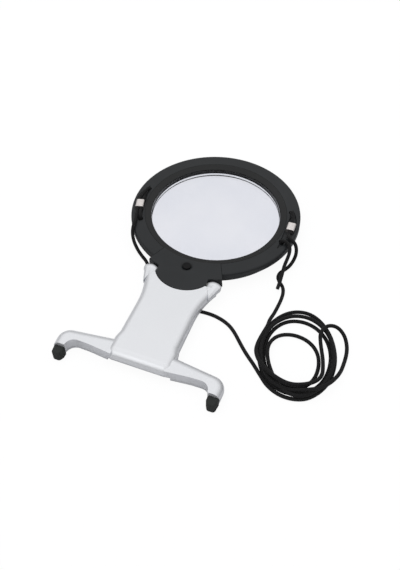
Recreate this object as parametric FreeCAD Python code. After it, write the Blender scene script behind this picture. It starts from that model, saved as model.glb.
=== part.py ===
import FreeCAD, Part
import math
import os

from FreeCAD import Vector

# Neck magnifier, lengths in millimetres, +Z up, lying on its back face.
# X runs along the chest bar, Y from the chest bar to the lens.
# The origin is on the table, under the middle of the rigid frame's outline.
# Every place below is measured from the lens centre until save() shifts it.

# Overall sizes
RING_RADIUS = 72.0
RING_HEIGHT = 14.0
HINGE_BEYOND_RING = 5.0
HINGE_Y = -RING_RADIUS - HINGE_BEYOND_RING
FOOT_BEYOND_HINGE = 98.0
FOOT_TIP_Y = HINGE_Y - FOOT_BEYOND_HINGE
LENS_TO_ORIGIN = -(FOOT_TIP_Y + RING_RADIUS) / 2

# Common walls and clearances
WALL = 2.0
THIN_WALL = 1.2
SEAM = 0.3
SOFT_GAP = 0.3
SLIP = 0.1
RUNNING_FIT = 0.05
OVERRUN = 10.0

# Lens frame, ring sections
RING_FACE_WIDTH = 11.7
RING_TOP_INNER_RADIUS = RING_RADIUS - RING_FACE_WIDTH
INNER_WALL = 1.8
RING_TOP_WALL_INNER_RADIUS = RING_TOP_INNER_RADIUS + INNER_WALL
RING_PARTING_Z = 8.0
RING_EDGE_ROUND = 2.0
INNER_EDGE_ROUND = 0.5
LOWER_SHELL_STEP = 0.4
BASE_INSET = 5.5
RING_BASE_OUTER_RADIUS = RING_RADIUS - BASE_INSET
BEZEL_REACH = 5.5
LENS_SIGHT_RADIUS = RING_TOP_INNER_RADIUS - BEZEL_REACH
LENS_FLANGE_WIDTH = 2.2
LENS_FLANGE_RADIUS = LENS_SIGHT_RADIUS + LENS_FLANGE_WIDTH
LENS_FLANGE_THICKNESS = 2.0
LENS_LEDGE_Z = 7.0
LENS_UPPER_SURFACE_RADIUS = 400.0
LENS_LOWER_SURFACE_RADIUS = 290.0
BEZEL_TOP_Z = 13.8
BEZEL_LIP_Z = 12.2
BEZEL_LIP_ROUND = 0.6
TONGUE_THICKNESS = 1.2
TONGUE_HEIGHT = 1.2

# Hub that carries the switch and the hinge
HUB_RADIUS = 25.5
HUB_CENTRE_INSET = 5.7
HUB_CENTRE_Y = HUB_CENTRE_INSET - RING_RADIUS
HUB_BASE_RADIUS = 22.0
HUB_WING_RADIUS = RING_RADIUS + HINGE_BEYOND_RING
HUB_WING_ANGLE = 24.0
HUB_WING_BASE_Z = 5.0
HUB_DECK_Z = 10.0
HUB_EDGE_ROUND = 1.2
NOSE_HALF_WIDTH = 20.9

# Hinge between hub and arm
ARM_BASE_Z = 5.5
ARM_THICKNESS = RING_HEIGHT - ARM_BASE_Z
HINGE_Z = ARM_BASE_Z + ARM_THICKNESS / 2
HINGE_PIN_RADIUS = 1.25
HINGE_PIN_LENGTH = 13.0
HINGE_PIN_START_X = 15.0
WASHER_THICKNESS = 0.5
WASHER_RADIUS = 2.4
EAR_INNER_X = NOSE_HALF_WIDTH + WASHER_THICKNESS + 2 * RUNNING_FIT
EAR_OUTER_X = 32.0
EAR_INNER_RADIUS = 2.6
EAR_OUTER_RADIUS = 2.4
HINGE_GAP = 0.35

# Push button and its spring
BUTTON_INSET = 5.0
BUTTON_Y = BUTTON_INSET - RING_RADIUS
BUTTON_RADIUS = 3.3
BUTTON_HOLE_RADIUS = 3.5
BUTTON_FLANGE_RADIUS = 4.3
BUTTON_FLANGE_THICKNESS = 0.8
BUTTON_STEM_RADIUS = 1.2
BUTTON_PROUD = 0.3
BUTTON_TRAVEL = 1.2
BUTTON_DISH_DEPTH = 0.5
BUTTON_POCKET_RADIUS = 2.6
DISH_RADIUS = 5.2
DISH_DEPTH = 0.8
SPRING_WIRE = 0.4
SPRING_TURNS = 4

# Battery, circuit board and lamps
CELL_Y = -RING_RADIUS
CELL_RADIUS = 10.0
CELL_THICKNESS = 3.2
CAP_RADIUS = 12.0
CAP_THICKNESS = 1.6
CAP_SINK = 0.3
CAP_LUG_REACH = 1.5
CAP_LUG_ANGLE = 24.0
CAP_TURN = 40.0
CAP_SLOT_WIDTH = 1.6
CAP_SLOT_DEPTH = 0.8
CONTACT_THICKNESS = 0.3
BOARD_THICKNESS = 1.2
BOARD_INNER_RADIUS = RING_TOP_INNER_RADIUS + SLIP
BOARD_WIDTH = 6.6
BOARD_OUTER_RADIUS = BOARD_INNER_RADIUS + BOARD_WIDTH
BOARD_ANGLE = 19.0
BOARD_TAB_HALF_WIDTH = 8.0
BOARD_TAB_REACH = 4.0
BOARD_TAB_REACH_Y = CELL_Y - BOARD_TAB_REACH
SWITCH_SIDE = 6.0
SWITCH_HEIGHT = 2.5
LAMP_RADIUS = 1.5
LAMP_INSET = 9.8
LAMP_PLACE = RING_RADIUS - LAMP_INSET
LAMP_ANGLE = 16.0
LAMP_TIP_Z = 0.8

# Arm
ARM_HALF_WIDTH = 23.4
ARM_STRAIGHT_BEYOND_HINGE = 35.0
ARM_FLARE_START_Y = HINGE_Y - ARM_STRAIGHT_BEYOND_HINGE
ARM_FLARE_HALF_WIDTH = 30.2
ARM_EDGE_ROUND = 5.6
ARM_PARTING_Z = 7.6
ARM_LENGTH = 87.0
ARM_END_Y = HINGE_Y - ARM_LENGTH
ARM_END_ROUND = 7.5
ARM_END_ROUND_START_Y = ARM_END_Y + ARM_END_ROUND
ARM_END_LOW_Z = 7.0
ARM_BLOCK_HALF_WIDTH = 24.8
ARM_BLOCK_LENGTH = 17.0
ARM_BLOCK_START_Y = ARM_END_Y + ARM_BLOCK_LENGTH
EAR_SEAM_TOP_X = 22.0
EAR_SEAM_TOP_DROP = 3.5
EAR_SEAM_TOP_Y = HINGE_Y - EAR_SEAM_TOP_DROP
EAR_SEAM_LOW_X = 27.2
EAR_SEAM_LENGTH = 14.0
EAR_SEAM_LOW_Y = HINGE_Y - EAR_SEAM_LENGTH

# Legs and feet
LEG_BACK_ROOT_OFFSET = 16.0
LEG_BACK_ROOT_Y = ARM_END_Y + LEG_BACK_ROOT_OFFSET
LEG_BACK_TIP_OFFSET = 11.0
LEG_BACK_TIP_Y = ARM_END_Y + LEG_BACK_TIP_OFFSET
LEG_OUTER_X = 65.4
LEG_CORNER_ROUND = 10.0
LEG_BEYOND_ARM = 4.0
LEG_END_Y = ARM_END_Y - LEG_BEYOND_ARM
LEG_END_OUTER_X = 64.6
LEG_END_INNER_X = 55.3
LEG_INSTEP_RADIUS = 7.0
LEG_FRONT_MID_X = 40.0
LEG_FRONT_MID_OFFSET = 2.8
LEG_FRONT_MID_Y = ARM_END_Y + LEG_FRONT_MID_OFFSET
LEG_FRONT_ROOT_OFFSET = 0.4
LEG_FRONT_ROOT_Y = ARM_END_Y + LEG_FRONT_ROOT_OFFSET
LEG_TOP_Z = 12.5
LEG_PARTING_Z = 5.0
LEG_BASE_Z = 0.8
LEG_EDGE_ROUND = 6.0
LEG_STEP = 0.8
TENON_LENGTH = 11.0
TENON_HALF_WIDTH = 4.0
TENON_BASE_Z = 7.8
TENON_TOP_Z = 11.8
TENON_OFFSET = 8.5
TENON_Y = ARM_END_Y + TENON_OFFSET
FOOT_INNER_X = 55.6
FOOT_OUTER_X = 64.0
FOOT_TOP_Z = 9.0
FOOT_ROUND = 2.2
FOOT_TOP_ROUND = 1.8
SPIGOT_HALF_WIDTH = 2.5
SPIGOT_LENGTH = 3.5
SPIGOT_BASE_Z = 2.6
SPIGOT_TOP_Z = 4.6

# Screws
SCREW_RADIUS = 1.1
SCREW_HEAD_RADIUS = 2.0
SCREW_HEAD_HEIGHT = 1.3
SCREW_BOSS_RADIUS = 2.8
RING_SCREW_INSET = 8.7
RING_SCREW_PLACE = RING_RADIUS - RING_SCREW_INSET
RING_SCREW_ANGLES = (40.0, 90.0, 140.0, 228.0, 312.0)
RING_SCREW_LENGTH = 9.0
ARM_SCREW_X = 14.0
ARM_SCREW_OFFSETS = (26.0, 63.0)
ARM_SCREW_LENGTH = 6.0

# Cord and its anchors
CORD_RADIUS = 1.45
CORD_FLOOR_Z = 1.5
CORD_TOP_Z = 15.3
SLOT_INSET = 10.7
SLOT_CHORD_PLACE = RING_RADIUS - SLOT_INSET
SLOT_DEPTH = 1.5
SLOT_HEIGHT = 8.4
SLOT_PLATE = 2.0
CORD_HOLE_RADIUS = 2.2
CORD_HOLE_INSET = 7.7
CORD_HOLE_PLACE = RING_RADIUS - CORD_HOLE_INSET
LEFT_SLOT_ANGLE = 192.0
LEFT_SLOT_HALF_CHORD = 22.4
LEFT_HOLE_ANGLES = (175.5, 209.6)
RIGHT_SLOT_ANGLE = 0.0
RIGHT_SLOT_HALF_CHORD = 24.0
RIGHT_HOLE_ANGLES = (-13.5, 18.5)
CRIMP_WIDTH = 6.9
CRIMP_THICKNESS = 3.9
CRIMP_LENGTH = 8.5
CRIMP_ROUND = 1.4
LEFT_CRIMP = (-62.85, -17.15)
LEFT_CRIMP_ANGLE = 195.2
RIGHT_CRIMP = (65.5, 1.7)
RIGHT_CRIMP_ANGLE = 2.3
STRAND_PITCH = 3.3
COIL_CENTRE = (101.7, -110.5)
COIL_TURN_ANGLE = 20.97
LAYER_STEP = 3.45
BEND_SHARE = 0.45
NEARLY_ZERO = 1e-5


# Drawing helpers

def flat_point(x, y):
    return Vector(x, y, 0)


def section_point(x, z):
    return Vector(x, 0, z)


def hinge_point(x, radius):
    return Vector(x, HINGE_Y, HINGE_Z + radius)


def side_point(y, z):
    return Vector(0, y, z)


def rounded_wire(corners, place=flat_point):
    """Closed outline of straight runs. A corner is (a, b) or (a, b, round radius)."""
    points = [place(corner[0], corner[1]) for corner in corners]
    rounds = [corner[2] if len(corner) > 2 else 0 for corner in corners]
    starts, edges = [], []
    for index, point in enumerate(points):
        before = (points[index - 1] - point).normalize()
        after = (points[(index + 1) % len(points)] - point).normalize()
        if not rounds[index]:
            starts.append((point, point))
            continue
        half = before.getAngle(after) / 2
        reach = rounds[index] / math.tan(half)
        depth = rounds[index] / math.sin(half) - rounds[index]
        middle = point + (before + after).normalize() * depth
        first, last = point + before * reach, point + after * reach
        edges.append(Part.Arc(first, middle, last).toShape())
        starts.append((first, last))
    for index, pair in enumerate(starts):
        following = starts[(index + 1) % len(starts)][0]
        if (following - pair[1]).Length > RUNNING_FIT / 100:
            edges.append(Part.LineSegment(pair[1], following).toShape())
    return Part.Wire(Part.__sortEdges__(edges))


def prism(corners, low, high):
    """Straight-sided block on a plan outline, between two heights."""
    wire = rounded_wire(corners)
    wire.translate(Vector(0, 0, low))
    return Part.Face(wire).extrude(Vector(0, 0, high - low))


def ring_solid(corners, start=0, sweep=360):
    """Profile of (radius, z) corners turned about the lens axis."""
    face = Part.Face(rounded_wire(corners, section_point))
    face.rotate(Vector(0, 0, 0), Vector(0, 0, 1), start)
    return face.revolve(Vector(0, 0, 0), Vector(0, 0, 1), sweep)


def hinge_solid(edges):
    """Profile edges in the plane above the hinge axis, turned about that axis."""
    face = Part.Face(Part.Wire(Part.__sortEdges__(edges)))
    return face.revolve(Vector(0, HINGE_Y, HINGE_Z), Vector(1, 0, 0), 360)


def cylinder(radius, low, high, x=0, y=0):
    return Part.makeCylinder(radius, high - low, Vector(x, y, low))


def block(low, high):
    size = Vector(*high) - Vector(*low)
    return Part.makeBox(size.x, size.y, size.z, Vector(*low))


def mirrored(shape):
    return shape.mirror(Vector(0, 0, 0), Vector(1, 0, 0))


def polar(radius, angle):
    return radius * math.cos(math.radians(angle)), radius * math.sin(math.radians(angle))


def fused(first, *others):
    return first.multiFuse(list(others)).removeSplitter()


def save(shape, name):
    """Shift from the lens centre to the part's origin and write one piece."""
    placed = shape.copy()
    placed.translate(Vector(0, LENS_TO_ORIGIN, 0))
    if not placed.isValid():
        print("not valid:", name)
    placed.exportStep("parts/" + name + ".step")
    box = placed.BoundBox
    heights = f"z {box.ZMin:6.2f} {box.ZMax:6.2f}"
    print(f"{name:20s} solids {len(placed.Solids):2d} volume {placed.Volume:9.1f}  {heights}")
    return placed


# Lens frame

def wing_sector(inner, outer, low, high, angle=HUB_WING_ANGLE):
    """Piece of a flat ring between two radii, centred on the hub's direction."""
    corners = [(inner, low), (outer, low), (outer, high), (inner, high)]
    return ring_solid(corners, -90 - angle, 2 * angle)


def hub_plan(inner_radius, low, high, shrink=0):
    """Round nose joined to the two wings, upright sides, less a shrink all round."""
    nose = cylinder(HUB_RADIUS - shrink, low, high, 0, HUB_CENTRE_Y)
    nose = nose.cut(cylinder(inner_radius, low - OVERRUN, high + OVERRUN))
    wings = wing_sector(inner_radius, HUB_WING_RADIUS - shrink, low, high)
    return fused(nose, wings)


def nose_reach(x):
    """How far the hub's round front stands before the hinge axis, at a place along it."""
    return math.sqrt(HUB_RADIUS ** 2 - x ** 2) - (HUB_CENTRE_Y - HINGE_Y)


def ear_profile(margin=0):
    """Half outline of one hinge ear, x along the axis and radius from it."""
    middle_x = EAR_INNER_X + (EAR_OUTER_X - EAR_INNER_X) / 2
    largest = ARM_THICKNESS / 2
    start = hinge_point(EAR_INNER_X - margin, EAR_INNER_RADIUS + margin)
    crown = hinge_point(middle_x, largest + margin)
    end = hinge_point(EAR_OUTER_X + margin, EAR_OUTER_RADIUS + margin)
    rise_x = (EAR_INNER_X + middle_x) / 2 - margin
    fall_x = (EAR_OUTER_X + middle_x) / 2 + margin
    rise = hinge_point(rise_x, (EAR_INNER_RADIUS + 3 * largest) / 4 + margin)
    fall = hinge_point(fall_x, (EAR_OUTER_RADIUS + 3 * largest) / 4 + margin)
    return [Part.Arc(start, rise, crown).toShape(), Part.Arc(crown, fall, end).toShape()], start, end


def ear_barrel(margin=0):
    """Barrel-shaped ear turned about the hinge axis."""
    arcs, start, end = ear_profile(margin)
    foot_start = hinge_point(start.x, 0)
    foot_end = hinge_point(end.x, 0)
    sides = [Part.LineSegment(foot_start, start).toShape(), Part.LineSegment(end, foot_end).toShape()]
    return hinge_solid(arcs + sides + [Part.LineSegment(foot_end, foot_start).toShape()])


def ear_pocket():
    """Room for one ear in the hub: the ear's barrel, all above it and all before it."""
    barrel = ear_barrel(HINGE_GAP)
    arcs, start, end = ear_profile(HINGE_GAP)
    outline = Part.Wire(arcs)
    outline.rotate(Vector(0, HINGE_Y, HINGE_Z), Vector(1, 0, 0), -90)
    ends = [vertex.Point for vertex in outline.OrderedVertexes]
    front = HINGE_Y - HUB_RADIUS
    back_left = Vector(ends[0].x, front, HINGE_Z)
    back_right = Vector(ends[-1].x + OVERRUN, front, HINGE_Z)
    right = Vector(ends[-1].x + OVERRUN, ends[-1].y, HINGE_Z)
    edges = list(outline.Edges)
    edges.append(Part.LineSegment(ends[-1], right).toShape())
    edges.append(Part.LineSegment(right, back_right).toShape())
    edges.append(Part.LineSegment(back_right, back_left).toShape())
    edges.append(Part.LineSegment(back_left, ends[0]).toShape())
    upper = Part.Face(Part.Wire(Part.__sortEdges__(edges))).extrude(Vector(0, 0, ARM_THICKNESS))
    front_box = block((NOSE_HALF_WIDTH, front, -OVERRUN),
                      (EAR_OUTER_X + OVERRUN, HINGE_Y, RING_HEIGHT + OVERRUN))
    side = block((NOSE_HALF_WIDTH, HINGE_Y - HUB_RADIUS, HINGE_Z - ARM_THICKNESS / 2 - HINGE_GAP),
                 (EAR_INNER_X, HINGE_Y + EAR_INNER_RADIUS + HINGE_GAP, RING_HEIGHT + OVERRUN))
    return fused(barrel, upper, front_box, side)


def hinge_holes(radius):
    """Straight holes for both hinge pins."""
    start = Vector(HINGE_PIN_START_X, HINGE_Y, HINGE_Z)
    pin = Part.makeCylinder(radius, HINGE_PIN_LENGTH, start, Vector(1, 0, 0))
    return pin, mirrored(pin)


def slot_solid(angle, half_chord, low, high, margin=0):
    """Crescent on the ring's face for the cord: a straight inner edge and a bowed outer one."""
    arc_radius = (half_chord ** 2 + SLOT_HEIGHT ** 2) / (2 * SLOT_HEIGHT) + margin
    chord_x = SLOT_CHORD_PLACE - margin
    disc = cylinder(arc_radius, low, high, SLOT_CHORD_PLACE + SLOT_HEIGHT + margin - arc_radius)
    inner = block((chord_x - 2 * arc_radius, -arc_radius, low), (chord_x, arc_radius, high))
    crescent = disc.cut(inner)
    crescent.rotate(Vector(0, 0, 0), Vector(0, 0, 1), angle)
    return crescent


def ring_top_shell():
    """Upper half of the frame: a channel open below, with the hub's deck and the cord slots."""
    wall_inner = RING_RADIUS - WALL
    plate_z = RING_HEIGHT - WALL
    shell = ring_solid([
        (wall_inner, RING_PARTING_Z), (RING_RADIUS, RING_PARTING_Z),
        (RING_RADIUS, RING_HEIGHT, RING_EDGE_ROUND), (RING_TOP_INNER_RADIUS, RING_HEIGHT, INNER_EDGE_ROUND),
        (RING_TOP_INNER_RADIUS, RING_PARTING_Z), (RING_TOP_WALL_INNER_RADIUS, RING_PARTING_Z),
        (RING_TOP_WALL_INNER_RADIUS, plate_z), (wall_inner, plate_z)])
    floor_z = RING_HEIGHT - SLOT_DEPTH
    plate_low = floor_z - SLOT_PLATE
    room_inner, room_outer = RING_TOP_WALL_INNER_RADIUS - SLIP, wall_inner + SLIP
    channel = ring_solid([(room_inner, plate_low), (room_outer, plate_low),
                          (room_outer, RING_HEIGHT - SLIP), (room_inner, RING_HEIGHT - SLIP)])
    slots = ((LEFT_SLOT_ANGLE, LEFT_SLOT_HALF_CHORD, LEFT_HOLE_ANGLES),
             (RIGHT_SLOT_ANGLE, RIGHT_SLOT_HALF_CHORD, RIGHT_HOLE_ANGLES))
    for slot_angle, half_chord, hole_angles in slots:
        plate = slot_solid(slot_angle, half_chord, plate_low, RING_HEIGHT - SLIP, WALL / 2)
        shell = fused(shell, plate.common(channel))
        shell = shell.cut(slot_solid(slot_angle, half_chord, floor_z, RING_HEIGHT + OVERRUN))
        for angle in hole_angles:
            x, y = polar(CORD_HOLE_PLACE, angle)
            shell = shell.cut(cylinder(CORD_HOLE_RADIUS, RING_PARTING_Z, RING_HEIGHT + OVERRUN, x, y))
    for angle in RING_SCREW_ANGLES:
        x, y = polar(RING_SCREW_PLACE, angle)
        shell = fused(shell, cylinder(SCREW_BOSS_RADIUS, RING_PARTING_Z, plate_z, x, y))
        pilot_top = RING_PARTING_Z + RING_SCREW_LENGTH / 3
        shell = shell.cut(cylinder(SCREW_RADIUS, RING_PARTING_Z - OVERRUN, pilot_top, x, y))
    room = wing_sector(RING_TOP_INNER_RADIUS - OVERRUN / 2, RING_RADIUS + OVERRUN, HUB_DECK_Z,
                       RING_HEIGHT + OVERRUN, HUB_WING_ANGLE)
    shell = shell.cut(room)
    deck = wing_sector(RING_TOP_INNER_RADIUS, RING_RADIUS, RING_PARTING_Z, HUB_DECK_Z)
    shell = fused(shell, deck)
    return shell.cut(cylinder(BUTTON_FLANGE_RADIUS + SOFT_GAP, -OVERRUN, RING_HEIGHT + OVERRUN, 0, BUTTON_Y))


def is_hub_rim(edge):
    """True for the upper edges of the nose and of the wings' outer side."""
    if edge.BoundBox.ZMin < RING_HEIGHT - RUNNING_FIT or edge.Curve.TypeId != "Part::GeomCircle":
        return False
    on_nose = edge.Curve.Radius < HUB_RADIUS + RUNNING_FIT
    on_wing = edge.Curve.Radius > HUB_WING_RADIUS - RUNNING_FIT
    return on_nose or on_wing


def hub_cover():
    """Cover over the hub: flat on the ring's face, with a deeper skirt before the ring."""
    cover = hub_plan(RING_TOP_INNER_RADIUS, HUB_DECK_Z, RING_HEIGHT, 0)
    skirt = hub_plan(RING_RADIUS + SLIP, RING_PARTING_Z, HUB_DECK_Z, 0)
    trim_angle = HUB_WING_ANGLE - math.degrees(SEAM / RING_RADIUS)
    cover = fused(cover, skirt)
    beyond = HUB_RADIUS - HUB_CENTRE_Y + OVERRUN
    cover = cover.common(wing_sector(RING_TOP_INNER_RADIUS - OVERRUN, beyond, 0, RING_HEIGHT, trim_angle))
    edges = [edge for edge in cover.Edges if is_hub_rim(edge)]
    cover = cover.makeFillet(HUB_EDGE_ROUND, edges)
    pocket = ear_pocket()
    cover = cover.cut(pocket).cut(mirrored(pocket))
    cover = cover.cut(cylinder(BUTTON_HOLE_RADIUS, 0, RING_HEIGHT + OVERRUN, 0, BUTTON_Y))
    cover = cover.cut(cylinder(BUTTON_FLANGE_RADIUS + SOFT_GAP, 0, RING_HEIGHT - WALL, 0, BUTTON_Y))
    bowl_place = Vector(0, BUTTON_Y, RING_HEIGHT - DISH_DEPTH)
    bowl = Part.makeCone(BUTTON_HOLE_RADIUS, DISH_RADIUS, DISH_DEPTH, bowl_place)
    cover = cover.cut(bowl)
    for pin in hinge_holes(HINGE_PIN_RADIUS):
        cover = cover.cut(pin)
    return cover


def ring_bottom_shell():
    """Lower half of the frame with the lens ledge, the lamp windows and the battery box."""
    outer = RING_RADIUS - LOWER_SHELL_STEP
    rim_z = RING_PARTING_Z - LOWER_SHELL_STEP
    wall_inner = outer - WALL
    base_inner = RING_BASE_OUTER_RADIUS - WALL
    tongue_outer = RING_RADIUS - WALL - SLIP
    ledge_low = LENS_LEDGE_Z - WALL
    flange_wall = LENS_FLANGE_RADIUS + SLIP
    shell = ring_solid([
        (LENS_SIGHT_RADIUS, 0, INNER_EDGE_ROUND), (RING_BASE_OUTER_RADIUS, 0, RING_EDGE_ROUND),
        (outer, rim_z), (tongue_outer, rim_z), (tongue_outer, RING_PARTING_Z + TONGUE_HEIGHT),
        (tongue_outer - TONGUE_THICKNESS, RING_PARTING_Z + TONGUE_HEIGHT),
        (tongue_outer - TONGUE_THICKNESS, rim_z - WALL), (base_inner, WALL),
        (LENS_SIGHT_RADIUS + WALL, WALL), (LENS_SIGHT_RADIUS + WALL, ledge_low),
        (RING_TOP_WALL_INNER_RADIUS, ledge_low), (RING_TOP_WALL_INNER_RADIUS, RING_PARTING_Z),
        (flange_wall, RING_PARTING_Z), (flange_wall, LENS_LEDGE_Z), (LENS_SIGHT_RADIUS, LENS_LEDGE_Z)])
    nose = Part.makeCone(HUB_BASE_RADIUS, HUB_RADIUS, RING_PARTING_Z, Vector(0, HUB_CENTRE_Y, 0))
    wings = ring_solid([
        (base_inner, 0), (RING_BASE_OUTER_RADIUS, 0), (HUB_WING_RADIUS - SLIP, HUB_WING_BASE_Z),
        (HUB_WING_RADIUS - SLIP, RING_PARTING_Z), (base_inner, RING_PARTING_Z)],
        -90 - HUB_WING_ANGLE, 2 * HUB_WING_ANGLE)
    hub = fused(nose, wings).cut(cylinder(base_inner, -OVERRUN, RING_HEIGHT))
    tongue_cut = wing_sector(tongue_outer - TONGUE_THICKNESS - SLIP, RING_RADIUS + SLIP, RING_PARTING_Z,
                             RING_HEIGHT, HUB_WING_ANGLE + 1)
    shell = fused(shell, hub).cut(tongue_cut)
    pocket = ear_pocket()
    shell = shell.cut(pocket).cut(mirrored(pocket))
    for angle in RING_SCREW_ANGLES:
        x, y = polar(RING_SCREW_PLACE, angle)
        shell = fused(shell, cylinder(SCREW_BOSS_RADIUS, WALL / 2, RING_PARTING_Z, x, y))
        shell = shell.cut(cylinder(SCREW_RADIUS, -OVERRUN, RING_HEIGHT, x, y))
        shell = shell.cut(cylinder(SCREW_HEAD_RADIUS + SLIP, -OVERRUN, SCREW_HEAD_HEIGHT + SOFT_GAP, x, y))
    return shell.cut(battery_room()).cut(board_room())


def cell_base_z():
    return CAP_SINK + CAP_THICKNESS + CONTACT_THICKNESS


def board_base_z():
    return cell_base_z() + CELL_THICKNESS + CONTACT_THICKNESS


def battery_room():
    """Round battery box open below, with a step and turning slots for the cap's lugs."""
    well = cylinder(CELL_RADIUS + 2 * CONTACT_THICKNESS, -OVERRUN, board_base_z(), 0, CELL_Y)
    seat = cylinder(CAP_RADIUS + SLIP, -OVERRUN, CAP_SINK + CAP_THICKNESS, 0, CELL_Y)
    lugs = cap_lugs(SLIP, CAP_LUG_ANGLE + 2 * CAP_TURN)
    entries = cap_lugs(SLIP, CAP_LUG_ANGLE + SLIP * 10)
    entries.rotate(Vector(0, CELL_Y, 0), Vector(0, 0, 1), CAP_TURN)
    entry_faces = entries.copy()
    entry_faces.translate(Vector(0, 0, -CAP_THICKNESS / 2))
    return fused(well, seat, lugs, entries, entry_faces)


def cap_lugs(margin, angle):
    """Three lugs on the cap's upper edge, or the slots that they turn in."""
    low = CAP_SINK + CAP_THICKNESS / 2 - margin
    high = CAP_SINK + CAP_THICKNESS
    pieces = []
    for place in (90, 210, 330):
        start = place - angle / 2
        lug = Part.makeCylinder(CAP_RADIUS + CAP_LUG_REACH + margin, high - low, Vector(0, CELL_Y, low),
                                Vector(0, 0, 1), angle)
        lug.rotate(Vector(0, CELL_Y, 0), Vector(0, 0, 1), start)
        pieces.append(lug)
    return fused(pieces[0], *pieces[1:])


def board_room():
    """Room over the battery for the circuit board and the lamps."""
    base = board_base_z()
    arc = wing_sector(BOARD_INNER_RADIUS - SLIP, BOARD_OUTER_RADIUS + SOFT_GAP, base, RING_PARTING_Z,
                      BOARD_ANGLE + SOFT_GAP)
    tab = block((-BOARD_TAB_HALF_WIDTH - SOFT_GAP, BOARD_TAB_REACH_Y - SOFT_GAP, base),
                (BOARD_TAB_HALF_WIDTH + SOFT_GAP, -BOARD_INNER_RADIUS, RING_PARTING_Z + OVERRUN))
    room = fused(arc, tab)
    for angle in (-90 - LAMP_ANGLE, -90 + LAMP_ANGLE):
        x, y = polar(LAMP_PLACE, angle)
        room = room.fuse(cylinder(LAMP_RADIUS + SLIP, -OVERRUN, base, x, y))
    return room


def lens_arc(surface_radius, edge_z, way):
    """One lens surface from its crown to its rim, bulging up (1) or down (-1)."""
    rim = LENS_SIGHT_RADIUS - SLIP
    drop = surface_radius - math.sqrt(surface_radius ** 2 - rim ** 2)
    crown_z = edge_z + way * drop
    half_drop = surface_radius - math.sqrt(surface_radius ** 2 - (rim / 2) ** 2)
    crown = section_point(0, crown_z)
    halfway = section_point(rim / 2, crown_z - way * half_drop)
    return Part.Arc(crown, halfway, section_point(rim, edge_z)).toShape(), crown


def lens():
    """Double-convex lens with a flat flange that lies on the ledge."""
    rim = LENS_SIGHT_RADIUS - SLIP
    low = LENS_LEDGE_Z
    high = LENS_LEDGE_Z + LENS_FLANGE_THICKNESS
    upper, upper_crown = lens_arc(LENS_UPPER_SURFACE_RADIUS, high, 1)
    lower, lower_crown = lens_arc(LENS_LOWER_SURFACE_RADIUS, low, -1)
    flange_high = section_point(LENS_FLANGE_RADIUS, high)
    flange_low = section_point(LENS_FLANGE_RADIUS, low)
    edges = [
        upper,
        Part.LineSegment(section_point(rim, high), flange_high).toShape(),
        Part.LineSegment(flange_high, flange_low).toShape(),
        Part.LineSegment(flange_low, section_point(rim, low)).toShape(),
        lower,
        Part.LineSegment(lower_crown, upper_crown).toShape()]
    face = Part.Face(Part.Wire(Part.__sortEdges__(edges)))
    return face.revolve(Vector(0, 0, 0), Vector(0, 0, 1), 360)


def lens_bezel():
    """Thin channel that holds the lens down: outer wall, cone falling inwards, inner wall."""
    outer = RING_TOP_INNER_RADIUS - RUNNING_FIT
    foot_z = LENS_LEDGE_Z + LENS_FLANGE_THICKNESS
    under_lip_z = BEZEL_LIP_Z - THIN_WALL
    return ring_solid([
        (LENS_SIGHT_RADIUS, foot_z), (LENS_SIGHT_RADIUS, BEZEL_LIP_Z, BEZEL_LIP_ROUND), (outer, BEZEL_TOP_Z),
        (outer, RING_PARTING_Z), (outer - THIN_WALL, RING_PARTING_Z),
        (outer - THIN_WALL, BEZEL_TOP_Z - 2 * THIN_WALL),
        (LENS_SIGHT_RADIUS + THIN_WALL, under_lip_z), (LENS_SIGHT_RADIUS + THIN_WALL, foot_z)])


def screw(x, y, head_z, length):
    """Pan-head screw driven upwards, with a slot across its head."""
    head = cylinder(SCREW_HEAD_RADIUS, head_z, head_z + SCREW_HEAD_HEIGHT, x, y)
    shank = cylinder(SCREW_RADIUS, head_z, head_z + length, x, y)
    slot = block((x - SCREW_HEAD_RADIUS - OVERRUN, y - SCREW_RADIUS / 4, head_z - OVERRUN),
                 (x + SCREW_HEAD_RADIUS + OVERRUN, y + SCREW_RADIUS / 4, head_z + SCREW_HEAD_HEIGHT / 2))
    return fused(head, shank).cut(slot)


def ring_screws():
    places = [polar(RING_SCREW_PLACE, angle) for angle in RING_SCREW_ANGLES]
    return Part.makeCompound([screw(x, y, SOFT_GAP, RING_SCREW_LENGTH) for x, y in places])


# Switch, battery and lamps

def switch_top_z():
    return board_base_z() + BOARD_THICKNESS + SWITCH_HEIGHT


def switch_body():
    half = SWITCH_SIDE / 2
    low = switch_top_z() - SWITCH_HEIGHT
    body = block((-half, BUTTON_Y - half, low), (half, BUTTON_Y + half, switch_top_z()))
    return body.cut(cylinder(BUTTON_STEM_RADIUS + RUNNING_FIT, low + SOFT_GAP, RING_HEIGHT, 0, BUTTON_Y))


def button_flange_top():
    return RING_HEIGHT - WALL - SLIP


def spring_top_z():
    return RING_HEIGHT + BUTTON_PROUD - WALL


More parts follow.
